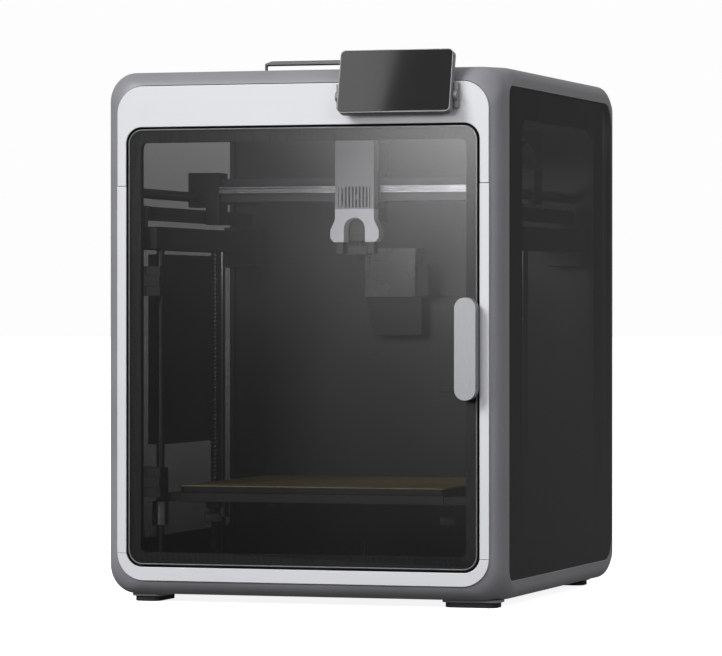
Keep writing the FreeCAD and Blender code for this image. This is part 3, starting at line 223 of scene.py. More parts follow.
def glass_edge_highlight():
    # the ground and polished edge of the pane, coloured pale grey as a painted highlight of the
    # light it gathers
    return grained("glass_edge_highlight", "#A9ADAE", "#C2C6C7", 3, (0.15, 0.25))


def blasted_anodised_aluminium(dark, light):
    # bead-blasted and clear-anodised aluminium: pale, cool and silky
    return grained("blasted_anodised_aluminium", dark, light, 0.8, (0.52, 0.6),
                   bump=0.012, Metallic=0.08)


def turned_aluminium():
    # turned and clear-anodised aluminium, a shade darker than the blasted face
    return grained("turned_aluminium", "#8E8F93", "#999A9E", 1.0, (0.4, 0.48), bump=0.01,
                   stretch=(1, 1, 0.1), Metallic=0.15)


def powder_coated_steel():
    # powder-coated sheet steel: dark, with an orange-peel grain
    return grained("powder_coated_steel", "#1B1B1D", "#232326", 1.4, (0.4, 0.5), bump=0.05)


def shaded_shaft_steel():
    # ground steel under a film of oil, coloured darker as painted shade, with a soft line of light
    return grained("shaded_shaft_steel", "#4A4B4E", "#5C5D60", 0.5, (0.26, 0.34), bump=0.004,
                   Metallic=1.0)


def silicone_sock():
    # the heater's moulded silicone sock: dull dark grey
    return grained("silicone_sock", "#202022", "#29292B", 1.2, (0.55, 0.65), bump=0.02)


def extruded_beam_aluminium():
    # extruded aluminium with a dark grey anodised skin, lines running along it
    return grained("extruded_beam_aluminium", "#303033", "#3C3C3F", 0.8, (0.34, 0.44),
                   stretch=(0.05, 1, 1), bump=0.01, Metallic=0.4)


def ground_bearing_steel():
    # centreless-ground hardened steel: bright, with fine rings
    return grained("ground_bearing_steel", "#A8A9AC", "#C8C9CC", 0.5, (0.2, 0.28), bump=0.002,
                   Metallic=1.0)


def black_anodised_aluminium():
    # extruded and black-anodised aluminium with faint lines along its length
    return grained("black_anodised_aluminium", "#1E1E20", "#2A2A2D", 0.8, (0.34, 0.44),
                   stretch=(0.05, 1, 1), bump=0.01, Metallic=0.5)


def moulded_head_grey(dark, light, foot_height):
    # satin ABS of the tool head's cover: mid grey, and pale grey below the vents
    return grained("moulded_head_grey", dark, light, 0.9, (0.4, 0.48), bump=0.02,
                   zone=(foot_height, "#B9B9BF"))


def moulded_dark_grey():
    # dark grey ABS of the lid's bar
    return grained("moulded_dark_grey", "#3A3A3C", "#444446", 0.9, (0.4, 0.5), bump=0.015)


def painted_die_cast_zinc():
    # die-cast zinc under satin grey paint
    return grained("painted_die_cast_zinc", "#86878A", "#929396", 1.0, (0.5, 0.58), bump=0.015)


def moulded_light_grey():
    # light grey ABS, as on brackets and diffusers; on the beads round the side panels it is a
    # painted highlight
    return grained("moulded_light_grey", "#A5A5A7", "#B3B3B5", 0.9, (0.4, 0.5), bump=0.015)


def coated_build_plate(dark, light):
    # spring steel with a textured polyetherimide powder coat: golden olive and gritty
    return grained("coated_build_plate", dark, light, 1.2, (0.38, 0.6), bump=0.12, patch=90)


def sheet_edge_highlight():
    # the bare sheared edge of the spring steel sheet, coloured a pale warm gold: a painted
    # highlight, a thin warm line of light
    return grained("sheet_edge_highlight", "#C9BE9C", "#DDD3B4", 2, (0.3, 0.4))


def black_display_glass():
    # gloss-black cover glass over a dark display
    return grained("black_display_glass", "#08080A", "#0C0C0E", 60, (0.04, 0.07), patch=200,
                   IOR=1.6)


def smoked_polycarbonate():
    # thin translucent polycarbonate with a grey haze
    return grained("smoked_polycarbonate", "#8C8D90", "#9A9B9E", 30, (0.2, 0.3), Alpha=0.55)


def moulded_rubber():
    # moulded synthetic rubber: black and matt
    return grained("moulded_rubber", "#101011", "#18181A", 1.5, (0.7, 0.85), bump=0.05)


def solder_mask_green():
    # glass-epoxy board under green solder mask
    return grained("solder_mask_green", "#0E3A22", "#14512F", 2.5, (0.3, 0.4), bump=0.02)


def matt_white_paper():
    # the seamless white paper that the machine stands on, lit evenly from within
    return grained("matt_white_paper", "#F2F2F2", "#F8F8F8", 40, (0.85, 0.9),
                   **{"Emission Color": (1, 1, 1, 1), "Emission Strength": 0.85})


# ---- meshes ------------------------------------------------------------------------------

def link(name, mesh, material, body, *nodes, slot=None):
    """A finished piece: it rides on a body and stands for the CAD nodes it replaces."""
    piece = bpy.data.objects.new(name, mesh)
    bpy.context.scene.collection.objects.link(piece)
    if material:
        piece.data.materials.append(material)
    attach(piece, body)
    if nodes:
        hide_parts(*nodes)
    return piece


def grid_faces(rows, columns, wrap_rows=False, wrap_columns=False):
    """Corner numbers of every quad of a grid of points; a wrapped side joins its first line."""
    row = np.arange(rows if wrap_rows else rows - 1)
    column = np.arange(columns if wrap_columns else columns - 1)
    r, c = (part.ravel() for part in np.meshgrid(row, column, indexing="ij"))
    next_r, next_c = (r + 1) % rows, (c + 1) % columns
    return np.stack([r * columns + c, r * columns + next_c,
                     next_r * columns + next_c, next_r * columns + c], axis=1)


def mesh_from(name, points, faces, smooth=True):
    """A mesh from arrays of points and quads, its normals turned outwards."""
    mesh = bpy.data.meshes.new(name)
    mesh.from_pydata(np.asarray(points, float).reshape(-1, 3).tolist(), [],
                     [list(map(int, face)) for face in faces])
    work = bmesh.new()
    work.from_mesh(mesh)
    bmesh.ops.remove_doubles(work, verts=work.verts, dist=JOINED)
    bmesh.ops.recalc_face_normals(work, faces=work.faces)
    work.to_mesh(mesh)
    work.free()
    mesh.polygons.foreach_set("use_smooth", np.full(len(mesh.polygons), smooth))
    return mesh


def closed_tube(name, rings, wrap=False):
    """A surface through rings of points; unless it wraps, each end is closed by a fan."""
    rows, columns = rings.shape[:2]
    points = rings.reshape(-1, 3)
    faces = grid_faces(rows, columns, wrap_rows=wrap, wrap_columns=True).tolist()
    if not wrap:
        middles = np.stack([rings[0].mean(0), rings[-1].mean(0)])
        points = np.vstack([points, middles])
        around = np.arange(columns)
        following = (around + 1) % columns
        first, last = rows * columns, rows * columns + 1
        start = (rows - 1) * columns
        faces += np.stack([following, around, np.full(columns, first)], 1).tolist()
        faces += np.stack([start + around, start + following, np.full(columns, last)], 1).tolist()
    return mesh_from(name, points, faces)


def round_loop(half_x, half_z, radius, corner_steps=14, side_steps=2):
    """Points round a rectangle with round corners, centred, as columns x and z.

    Each corner is a quarter circle; the same number of points whatever the sizes, so that
    loops of different sizes join.
    """
    centres = np.array([[1, 1], [-1, 1], [-1, -1], [1, -1]]) * [half_x - radius, half_z - radius]
    turn = np.linspace(0, QUARTER, corner_steps)
    arcs = []
    for i, centre in enumerate(centres):
        angle, end = turn + i * QUARTER, (i + 1) * QUARTER
        arc = centre + radius * np.stack([np.cos(angle), np.sin(angle)], 1)
        following = centres[(i + 1) % 4] + radius * np.array([math.cos(end), math.sin(end)])
        share = np.linspace(0, 1, side_steps + 2)[1:-1, None]
        arcs += [arc, arc[-1] + (following - arc[-1]) * share]
    return np.vstack(arcs)


def softened(node, width, material, segments=3, angle=35):
    """A copy of a CAD node's mesh with its sharp edges rounded by width millimetres."""
    mesh = NODES[node].data.copy()
    mesh.materials.clear()
    work = bmesh.new()
    work.from_mesh(mesh)
    bmesh.ops.remove_doubles(work, verts=work.verts, dist=JOINED_CAD)
    bmesh.ops.dissolve_limit(work, angle_limit=FLAT_ANGLE, verts=work.verts,
                             edges=work.edges)
    work.to_mesh(mesh)
    work.free()
    mesh.polygons.foreach_set("use_smooth", np.full(len(mesh.polygons), True))
    body = NODES[node]["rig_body"]
    piece = link(f"{node}_finished", mesh, material, body, node)
    bevel = piece.modifiers.new("edge_round", "BEVEL")
    bevel.width = width * MM
    bevel.segments = segments
    bevel.limit_method = "ANGLE"
    bevel.angle_limit = math.radians(angle)
    bevel.harden_normals = False
    bevel.use_clamp_overlap = True
    crease = piece.modifiers.new("flat_faces", "WEIGHTED_NORMAL")
    crease.keep_sharp = True
    return piece


def face_centres(mesh):
    """The middle of every face of a mesh, as an array."""
    centres = np.empty(len(mesh.polygons) * 3)
    mesh.polygons.foreach_get("center", centres)
    return centres.reshape(-1, 3)


def finish_node(node, material):
    """A CAD node that is shown as it is, with a better material."""
    item = NODES[node]
    item.data.materials.clear()
    item.data.materials.append(material)


# ---- sizes worked out from the construction model ----------------------------------------

FRONT = span("bezel_top")[0][1]                 # the front plane
HALF = span("side_panel_right")[1][0]           # half the case's width
TOP = span("roof_frame")[1][2]
FLOOR = span("base_tray")[0][2]
BACK = span("rear_shell")[1][1]
BEZEL_EDGE = span("bezel_top")[1][0]            # half the bezel's width
PANEL_LOW, PANEL_HIGH = span("side_panel_right")
LID_LOW, LID_HIGH = span("lid_frame")


def smooth_step(share):
    """0 up to 0, 1 from 1 on, and 3 s^2 - 2 s^3 in between."""
    share = np.clip(share, 0, 1)
    return share * share * (3 - 2 * share)


def case_rings(sizes):
    """Loops across the case from its inner back, forward, round the front edge and back.

    The outer loop at depth d is a rectangle with round corners. Near the front its half width
    is the case's half width less r - sqrt(r^2 - (r - d)^2), a quarter circle; near the back
    the height follows a larger quarter circle and the width a smaller one. The corner radius
    grows round the front edge and then shrinks to that of the long edges.
    """
    middle, tall = (TOP + FLOOR) / 2, (TOP - FLOOR) / 2
    deep = BACK - FRONT
    bend, arch, edge = sizes.front_round, sizes.back_round, sizes.back_edge_round
    band = HALF - BEZEL_EDGE
    start = math.asin(1 - band / bend)
    turn = np.linspace(start, QUARTER, sizes.front_rings)
    front = bend * (1 - np.cos(turn))
    swing = np.linspace(0, QUARTER, sizes.back_rings)
    back = deep - arch + arch * np.sin(swing)
    blend = np.linspace(bend, sizes.blend_depth, sizes.blend_rings)
    middle_part = np.linspace(sizes.blend_depth, deep - arch, sizes.side_rings)
    depth = np.concatenate([front, blend[1:], middle_part[1:], back[1:]])
    inset = np.where(depth < bend, bend - np.sqrt(np.maximum(bend**2 - (bend - depth)**2, 0)), 0)
    past = np.clip(depth - (deep - arch), 0, arch)
    drop = arch - np.sqrt(arch**2 - past**2)
    past_edge = np.clip(depth - (deep - edge), 0, edge)
    tuck = edge - np.sqrt(edge**2 - past_edge**2)
    grown = smooth_step((depth - front[0]) / (bend - front[0]))
    shrunk = smooth_step((depth - sizes.blend_start) / (sizes.blend_depth - sizes.blend_start))
    radius = (sizes.inner_corner + (sizes.front_corner - sizes.inner_corner) * grown
              + (sizes.long_edge - sizes.front_corner) * shrunk)
    rings = []
    wall = sizes.wall

    def ring(half_x, half_z, corner, y):
        loop = round_loop(half_x, half_z, corner)
        rings.append(np.stack([loop[:, 0], np.full(len(loop), y), loop[:, 1] + middle], 1))

    inner = [i for i in range(len(depth)) if depth[i] > 2 * bend][::-1]
    for i in inner:
        ring(HALF - tuck[i] - wall, tall - drop[i] - wall, max(radius[i] - wall, wall),
             FRONT + min(depth[i], deep - wall))
    sheet = BEZEL_EDGE + CLEARANCE
    rise = tall - (HALF - sheet)
    ring(sheet, rise, sizes.inner_corner, FRONT + 2 * bend)
    ring(sheet, rise, sizes.inner_corner, FRONT + front[0] + sizes.inner_lip)
    for i in range(len(depth)):
        ring(HALF - inset[i] - tuck[i], tall - inset[i] - drop[i], radius[i], FRONT + depth[i])
    return np.array(rings)


def rounded_block(name, low, high, radius, axis, far_radius=None):
    """A block with round corners seen along an axis, as a cutter; far corners may differ."""
    others = [i for i in range(3) if i != axis]
    size = np.array(high) - low
    loop = round_loop(size[others[0]] / 2, size[others[1]] / 2, radius)
    if far_radius:
        wide = round_loop(size[others[0]] / 2, size[others[1]] / 2, far_radius)
        loop = np.where(loop[:, :1] > 0, wide, loop)
    rings = np.zeros((2, len(loop), 3))
    for row, level in enumerate((low[axis], high[axis])):
        rings[row, :, axis] = level
        rings[row, :, others[0]] = loop[:, 0] + (low[others[0]] + high[others[0]]) / 2
        rings[row, :, others[1]] = loop[:, 1] + (low[others[1]] + high[others[1]]) / 2
    return closed_tube(name, rings)


def carve(mesh, cutters):
    """The mesh less every cutter."""
    base = bpy.data.objects.new("carve_base", mesh)
    bpy.context.scene.collection.objects.link(base)
    tools = []
    for cutter in cutters:
        tool = bpy.data.objects.new(cutter.name, cutter)
        bpy.context.scene.collection.objects.link(tool)
        tools.append(tool)
        step = base.modifiers.new(cutter.name, "BOOLEAN")
        step.operation = "DIFFERENCE"
        step.solver = "EXACT"
        step.object = tool
    graph = bpy.context.evaluated_depsgraph_get()
    result = bpy.data.meshes.new_from_object(base.evaluated_get(graph))
    for item in (base, *tools):
        bpy.data.objects.remove(item)
    return result


def mark_sharp(mesh, angle=32):
    mesh.polygons.foreach_set("use_smooth", np.full(len(mesh.polygons), True))
    mesh.set_sharp_from_angle(angle=math.radians(angle))
    return mesh


def bead(name, loop, normal, radius, material, body, steps=8):
    """A round cord of material laid along a flat closed loop.

    Each point of the loop carries a circle spanned by the loop's sideways direction and its
    plane's normal.
    """
    ahead = np.roll(loop, -1, 0) - np.roll(loop, 1, 0)
    ahead /= np.linalg.norm(ahead, axis=1)[:, None]
    normal = np.array(normal, float)
    side = np.cross(ahead, normal)
    angle = np.linspace(0, FULL_TURN, steps, endpoint=False)
    rings = (loop[:, None] + radius * (np.cos(angle)[None, :, None] * side[:, None]
                                       + np.sin(angle)[None, :, None] * normal))
    return link(name, closed_tube(name, rings, wrap=True), material, body)


# ---- what the user may change ------------------------------------------------------------

def length(name, about, default):
    return FloatProperty(name=name, description=about, default=default * MM, unit="LENGTH",
                         precision=5)


class PrinterSizes(bpy.types.PropertyGroup):
    """Sizes of the shapes that the construction model leaves plain."""
    front_round: length("Front round", "Radius of the front edge, seen from above", 21)
    inner_corner: length("Inner corner", "Corner radius where the ring meets the bezel", 27.5)
    front_corner: length("Front corner", "Corner radius of the ring's outer edge", 27)
    long_edge: length("Long edge", "Radius of the edges along the roof and floor", 11)
    blend_start: length("Blend start", "Depth at which the corner starts to shrink", 14)
    blend_depth: length("Blend depth", "Depth at which the corner has shrunk to the edge", 50)
    back_round: length("Back round", "Radius of the upper and lower rear edges", 40)
    back_edge_round: length("Rear edge", "Radius of the upright rear edges", 11.5)
    inner_lip: length("Inner lip", "Depth of the step where the ring meets the bezel", 0.4)
    front_rings: IntProperty(name="Front rings", description="Rings round the front edge",
                             default=14)
    blend_rings: IntProperty(name="Blend rings", description="Rings where the corner shrinks",
                             default=12)
    side_rings: IntProperty(name="Side rings", description="Rings along the sides", default=9)
    back_rings: IntProperty(name="Back rings", description="Rings round the back edge",
                            default=22)
    cut_depth: length("Cut depth", "How far an opening's cutter reaches each way", 12)
    inlet_rim: length("Inlet rim", "Edge of the mains inlet that covers the case", 1)
    wall: length("Wall", "Thickness of the moulded case", 3.2)
    lip: length("Lip", "Radius of the bead round each side panel", 0.7)
    pane_edge: length("Pane edge", "Radius of the door pane's polished edge", 0.65)
    thread_pitch: length("Thread pitch", "Rise of one turn of the lead screws' thread", 4)
    thread_depth: length("Thread depth", "Depth of the lead screws' thread", 0.8)
    head_foot: length("Head foot", "Height below which the head's cover is lighter", 386)
    duct_tall: length("Duct height", "Height of the air ducts under the head's cover", 11)
    vents: IntProperty(name="Vents", description="Slots in the back", default=9)
    vent_pitch: length("Vent pitch", "Height from one slot to the next", 12)
    vent_tall: length("Vent height", "Height of a slot in the back", 5)
    knurls: IntProperty(name="Knurls", description="Ridges round a levelling knob", default=26)
    knob_radius: length("Knob radius", "Radius of a levelling knob", 9)
    knob_tall: length("Knob height", "Height of a levelling knob", 8)
    knob_gap: length("Knob gap", "Screw that shows under a levelling knob", 2)
    spring_radius: length("Spring radius", "Radius of a levelling spring's coil", 3.6)
    spring_wire: length("Spring wire", "Radius of a levelling spring's wire", 0.7)


class PrinterColours(bpy.types.PropertyGroup):
    """Colours that differ between finishes of the same machine."""
    shell: FloatVectorProperty(name="Shell", description="Grey of the case", subtype="COLOR",
                               default=linear("#8F8F94")[:3], min=0, max=1)
    silver: FloatVectorProperty(name="Bezel", description="Silver of the front bezel",
                                subtype="COLOR", default=linear("#DCDDE1")[:3], min=0, max=1)
    cover: FloatVectorProperty(name="Head cover", description="Grey of the tool head's cover",
                               subtype="COLOR", default=linear("#838387")[:3], min=0, max=1)
    plate: FloatVectorProperty(name="Build plate", description="Gold of the build plate",
                               subtype="COLOR", default=linear("#8A7A46")[:3], min=0, max=1)


def shades(colour, spread=0.08):
    """A colour a little darker and a little lighter than the one given."""
    tone = np.array(colour[:3])
    return (*(tone * (1 - spread)), 1.0), (*np.minimum(tone * (1 + spread), 1), 1.0)


# ---- pieces ------------------------------------------------------------------------------

VENT_ROUND = 0.49    # the slots' end radius over their height: just under a half circle
# the cord round the build sheet's edge is coloured pale as a painted highlight
HIGHLIGHT_CORD_SHARE = 0.4     # the sheet edge's radius over its thickness, so that it clears the plate


class PRINTER_OT_case(bpy.types.Operator):
    """The moulded case: front ring, roof, sides' frame, floor and back in one skin"""
    bl_idname = "printer.case"
    bl_label = "Case"

    def execute(self, context):
        sizes, colours = context.scene.printer_sizes, context.scene.printer_colours
        grey = moulded_abs_grey(*shades(colours.shell))
        skin = closed_tube("case_skin", case_rings(sizes))
        gap, deep, rim = CLEARANCE, sizes.cut_depth, sizes.inlet_rim
        cutters = []
        for sign in (1, -1):
            reach = sorted((sign * (HALF - deep), sign * (HALF + deep)))
            cutters.append(rounded_block(
                f"panel_opening_{sign + 1}",
                np.array([reach[0], PANEL_LOW[1] - gap, PANEL_LOW[2] - gap]),
                np.array([reach[1], PANEL_HIGH[1] + gap, PANEL_HIGH[2] + gap]),
                PANEL_CORNER, 0, far_radius=PANEL_REAR_CORNER))
        cutters.append(rounded_block("lid_opening", LID_LOW - [gap, gap, deep],
                                     LID_HIGH + [gap, gap, deep], LID_CORNER, 2))
        inlet_low, inlet_high = span("power_inlet")
        cutters.append(rounded_block("inlet_opening", inlet_low + [rim, -deep, rim],
                                     inlet_high + [-rim, deep, -rim], INLET_CORNER, 1))
        fan_low, fan_high = span("exhaust_fan")
        for row in range(sizes.vents):
            z = fan_low[2] + (row - sizes.vents + 1) * sizes.vent_pitch
            cutters.append(rounded_block(
                f"vent_{row}", np.array([fan_low[0], BACK - deep, z]),
                np.array([fan_high[0], BACK + deep, z + sizes.vent_tall]),
                sizes.vent_tall * VENT_ROUND, 1))
        skin = mark_sharp(carve(skin, cutters))
        skin.materials.clear()
        link("case_skin", skin, grey, "case", "front_ring", "roof_frame", "base_tray",
             "rear_shell", slot="shell_grey")
        return {"FINISHED"}


class PRINTER_OT_panels(bpy.types.Operator):
    """The tinted side panels, the bead round each, coloured light grey as a painted highlight, and
    the frames behind them
    """
    bl_idname = "printer.panels"
    bl_label = "Side panels"

    def execute(self, context):
        sizes = context.scene.printer_sizes
        tint, pale = tinted_acrylic_panel(), moulded_light_grey()
        centre = (PANEL_LOW + PANEL_HIGH) / 2
        size = PANEL_HIGH - PANEL_LOW
        near = round_loop(size[1] / 2, size[2] / 2, PANEL_CORNER)
        far = round_loop(size[1] / 2, size[2] / 2, PANEL_REAR_CORNER)
        flat = np.where(near[:, :1] > 0, far, near)
        for sign, side in ((1, "right"), (-1, "left")):
            softened(f"side_panel_{side}", 0.8, tint)
            x = sign * (HALF - sizes.lip)
            loop = np.stack([np.full(len(flat), x), flat[:, 0] + centre[1],
                             flat[:, 1] + centre[2]], 1)
            # the bead is lighter grey than the case: painted highlight along the panel's edge
            bead(f"panel_lip_{side}", loop, (sign, 0, 0), sizes.lip, pale, "case")
        finish_node("side_frames", moulded_abs_black())
        return {"FINISHED"}


class PRINTER_OT_front(bpy.types.Operator):
    """The silver bezel's four pieces and the black frame behind them"""
    bl_idname = "printer.front"
    bl_label = "Front frame"

    def execute(self, context):
        silver = blasted_anodised_aluminium(*shades(context.scene.printer_colours.silver, 0.03))
        for node in ("bezel_top", "bezel_sides", "bezel_bottom"):
            softened(node, 0.6, silver)
        finish_node("inner_frame", moulded_abs_black())
        return {"FINISHED"}


class PRINTER_OT_door(bpy.types.Operator):
    """The glass door with its polished edge painted pale as a highlight, black border, grip and
    hinge parts
    """
    bl_idname = "printer.door"
    bl_label = "Door"

    def execute(self, context):
        sizes = context.scene.printer_sizes
        softened("door_glass", 0.4, tinted_door_glass())
        softened("door_border", 0.4, black_ceramic_ink())
        softened("door_grip", 3.6, turned_aluminium(), segments=7)
        softened("door_leaves", 0.3, powder_coated_steel())
        softened("hinge_blocks", 1.0, powder_coated_steel())
        low, high = span("door_glass")
        radius = sizes.pane_edge
        loop = round_loop((high[0] - low[0]) / 2 - radius, (high[2] - low[2]) / 2 - radius,
                          DOOR_CORNER - radius)
        centre = (low + high) / 2
        path = np.stack([loop[:, 0] + centre[0], np.full(len(loop), low[1] + radius),
                         loop[:, 1] + centre[2]], 1)
        # a pale cord along the pane's edge: painted highlight
        bead("door_pane_highlight", path, (0, -1, 0), radius, glass_edge_highlight(), "door")
        return {"FINISHED"}


class PRINTER_OT_screen(bpy.types.Operator):
    """The tilting touch screen and its brackets"""
    bl_idname = "printer.screen"
    bl_label = "Touch screen"

    def execute(self, context):
        softened("screen_shell", 1.2, turned_aluminium(), segments=4)
        softened("screen_glass", 0.4, black_display_glass())
        softened("screen_bracket", 0.8, painted_die_cast_zinc())
        return {"FINISHED"}


class PRINTER_OT_lid(bpy.types.Operator):
    """The lift-off lid: rim, pane and bar handle"""
    bl_idname = "printer.lid"
    bl_label = "Lid"

    def execute(self, context):
        softened("lid_frame", 1.0, moulded_abs_black())
        softened("lid_glass", 0.3, tinted_lid_glass())
        softened("lid_handle", 1.0, moulded_dark_grey(), segments=4)
        return {"FINISHED"}


class PRINTER_OT_feet(bpy.types.Operator):
    """The rubber feet and their bases"""
    bl_idname = "printer.feet"
    bl_label = "Feet"

    def execute(self, context):
        softened("rubber_feet", 0.8, moulded_rubber())
        softened("foot_bases", 0.5, moulded_abs_grey(*shades(context.scene.printer_colours.shell)))
        return {"FINISHED"}


def thread_surface(name, low, high, pitch, depth_of_cut, around=18, per_turn=8):
    """A round bar whose radius dips along a helix.

    At height z and angle a the radius is the full radius less the cut's depth times how near
    z / pitch - a / full turn lies to a whole number, a trapezium wave: 1 on the crest, 0 in
    the root, with flanks of slope 6 in between.
    """
    crest, slope = 2.2, 6
    radius = (high[0] - low[0]) / 2
    centre = (low + high) / 2
    rows = int((high[2] - low[2]) / pitch * per_turn)
    z = np.linspace(low[2], high[2], rows)[:, None]
    a = np.linspace(0, FULL_TURN, around, endpoint=False)[None, :]
    phase = (z / pitch - a / FULL_TURN) % 1
    wave = np.clip(crest - slope * np.abs(phase - 0.5), 0, 1)
    r = radius - depth_of_cut * (1 - wave)
    rings = np.stack([centre[0] + r * np.cos(a), centre[1] + r * np.sin(a),
                      np.broadcast_to(z, r.shape)], -1)
    return closed_tube(name, rings)


class PRINTER_OT_motion_frame(bpy.types.Operator):
    """Rods, columns, threaded lead screws, beams, belts and motors"""
    bl_idname = "printer.motion_frame"
    bl_label = "Motion frame"

    def execute(self, context):
        sizes = context.scene.printer_sizes
        # rods, columns, idlers and lead screw threads take a steel coloured darker as painted
        # shade
        steel, black = shaded_shaft_steel(), powder_coated_steel()
        for node in ("gantry_rods", "bed_columns", "belt_idlers"):
            softened(node, 0.3, steel)
        for node in ("side_beams", "belt_motors", "bed_motor"):
            softened(node, 0.8, black)
        finish_node("drive_belts", moulded_rubber())
        for side in ("right", "left"):
            low, high = span(f"lead_screw_{side}")
            screw = thread_surface(f"thread_{side}", low, high, sizes.thread_pitch,
                                   sizes.thread_depth)
            link(f"lead_screw_{side}_thread", screw, steel, f"screw_{side}",
                 f"lead_screw_{side}", slot="bright_steel")
        return {"FINISHED"}


class PRINTER_OT_gantry(bpy.types.Operator):
    """The gantry's beam, rail and end blocks"""
    bl_idname = "printer.gantry"
    bl_label = "Gantry"

    def execute(self, context):
        dark = black_anodised_aluminium()
        for node in ("gantry_block_right", "gantry_block_left"):
            softened(node, 0.8, dark)
        softened("gantry_beam", 0.8, extruded_beam_aluminium())
        softened("gantry_rail", 0.5, ground_bearing_steel())
        return {"FINISHED"}


class PRINTER_OT_tool_head(bpy.types.Operator):
    """The tool head: cover with vents, carrier, fan and hot end"""
    bl_idname = "printer.tool_head"
    bl_label = "Tool head"

    def execute(self, context):
        sizes = context.scene.printer_sizes
        grey = moulded_head_grey(*shades(context.scene.printer_colours.cover),
                                  sizes.head_foot / MM)
        cover = softened("head_cover", 0.7, grey)
        cover.data.materials.append(silicone_sock())
        ducts = face_centres(cover.data)[:, 2] < span("head_cover")[0][2] + sizes.duct_tall
        cover.data.polygons.foreach_set("material_index", ducts.astype(np.int32))
        softened("head_carrier", 0.8, black_anodised_aluminium())
        softened("rail_slider", 0.4, ground_bearing_steel())
        softened("hot_end", 0.3, silicone_sock())
        finish_node("head_fan_rotor", moulded_abs_black())
        return {"FINISHED"}


def knob_mesh(name, centre, low_z, high_z, radius, knurls):
    """A knurled wheel: radius times 1 + ripple cos(ridges x angle), with a rounded rim.

    From the lower to the upper face, as s goes from 0 to half a turn, the rim's radius is
    face + (1 - face) sin(s)^fullness of the full one.
    """
    ripple, face, fullness = 0.05, 0.82, 0.35
    angle = np.linspace(0, FULL_TURN, knurls * 6, endpoint=False)
    share = np.linspace(0, math.pi, 13)
    z = (low_z + high_z) / 2 - (high_z - low_z) / 2 * np.cos(share)
    rim = face + (1 - face) * np.abs(np.sin(share)) ** fullness
    ridge = 1 + ripple * np.cos(knurls * angle)
    r = radius / (1 + ripple) * rim[:, None] * ridge[None, :]
    rings = np.stack([centre[0] + r * np.cos(angle), centre[1] + r * np.sin(angle),
                      np.broadcast_to(z[:, None], r.shape)], -1)
    return closed_tube(name, rings)


def spring_mesh(name, centre, low_z, high_z, radius, wire, turns=5, per_turn=20, around=8):
    """A helix of round wire: its middle runs at radius r and rises evenly with the angle."""
    a = np.linspace(0, FULL_TURN * turns, turns * per_turn)
    middle = np.stack([centre[0] + radius * np.cos(a), centre[1] + radius * np.sin(a),
                       np.linspace(low_z + wire, high_z - wire, len(a))], 1)
    outward = np.stack([np.cos(a), np.sin(a), np.zeros_like(a)], 1)
    b = np.linspace(0, FULL_TURN, around, endpoint=False)
    rings = middle[:, None] + wire * (np.cos(b)[None, :, None] * outward[:, None]
                                      + np.sin(b)[None, :, None] * np.array([0, 0, 1.0]))
    return closed_tube(name, rings)


class PRINTER_OT_bed(bpy.types.Operator):
    """The heated bed: build plate, heater, carrier, bearings, knurled knobs and springs"""
    bl_idname = "printer.bed"
    bl_label = "Bed"

    def execute(self, context):
        sizes, colours = context.scene.printer_sizes, context.scene.printer_colours
        softened("build_sheet", 0.25, coated_build_plate(*shades(colours.plate, 0.2)))
        low, high = span("build_sheet")
        highlight_cord = (high[2] - low[2]) * HIGHLIGHT_CORD_SHARE
        loop = round_loop((high[0] - low[0]) / 2 - highlight_cord / 2, (high[1] - low[1]) / 2 - highlight_cord / 2,
                          SHEET_CORNER)
        edge = np.stack([loop[:, 0] + (low[0] + high[0]) / 2, loop[:, 1] + (low[1] + high[1]) / 2,
                         np.full(len(loop), (low[2] + high[2]) / 2)], 1)
        # a pale warm cord round the sheet's edge: painted highlight
        bead("build_sheet_highlight", edge, (0, 0, 1), highlight_cord, sheet_edge_highlight(), "print_sheet")
        softened("heated_plate", 0.5, black_anodised_aluminium())
        softened("bed_carrier", 0.8, powder_coated_steel())
        softened("bed_bearings", 0.5, ground_bearing_steel())
        low, high = span("level_knobs")
        reach = sizes.knob_radius
        bottom, top = low[2] + sizes.knob_gap, low[2] + sizes.knob_gap + sizes.knob_tall
        steel, pale = ground_bearing_steel(), turned_aluminium()
        for i, x in enumerate((low[0] + reach, high[0] - reach)):
            for j, y in enumerate((low[1] + reach, high[1] - reach)):
                wheel = knob_mesh("knob", (x, y), bottom, top, reach, sizes.knurls)
                link(f"level_knob_{i}_{j}", wheel, pale, "bed")
                spring = spring_mesh("spring", (x, y), top, high[2], sizes.spring_radius,
                                     sizes.spring_wire)
                link(f"level_spring_{i}_{j}", spring, steel, "bed")
        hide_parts("level_knobs")
        return {"FINISHED"}


class PRINTER_OT_fittings(bpy.types.Operator):
    """Chute, wiper, wall box, camera, light bar, inlet, switch, fan and electronics"""
    bl_idname = "printer.fittings"
    bl_label = "Fittings"

    def execute(self, context):
        black, coated, pale = moulded_abs_black(), powder_coated_steel(), moulded_light_grey()
        softened("waste_chute", 0.5, smoked_polycarbonate())
        for node in ("nozzle_wiper", "camera", "power_inlet", "power_rocker", "exhaust_fan"):
            softened(node, 0.6, black)
        for node in ("waste_ramp", "wall_box"):
            softened(node, 0.6, glass_filled_nylon())
        softened("light_bar", 0.6, pale)
        for node in ("rear_wall_sheet", "power_supply"):
            softened(node, 0.4, coated)
        finish_node("exhaust_rotor", black)
        finish_node("mainboard", solder_mask_green())
        return {"FINISHED"}


# name, place, the point aimed at, width and height, power in watts, and whether it lights
# surfaces or only shows in their gloss
LAMPS = (
    ("key_softbox", (-3.4, -4.8, 4.2), (0, 0, 0.28), (2.6, 2.6), 335, True),
    ("side_fill", (3.2, -3.4, 1.6), (0, 0, 0.28), (1.6, 1.6), 26, True),
    ("door_softbox", (-0.3, -2.3, 0.8), (0.15, FRONT, 0.5), (0.5, 0.6), 34, False),
    ("screen_softbox", (-1.05, -2.35, 1.62), (0.1, FRONT, 0.5), (0.7, 0.9), 3.2, False),
    ("inside_bar", (0.02, FRONT + 0.05, 0.35), (0.02, 0.0, 0.39), (0.2, 0.03), 0.32, True),
)


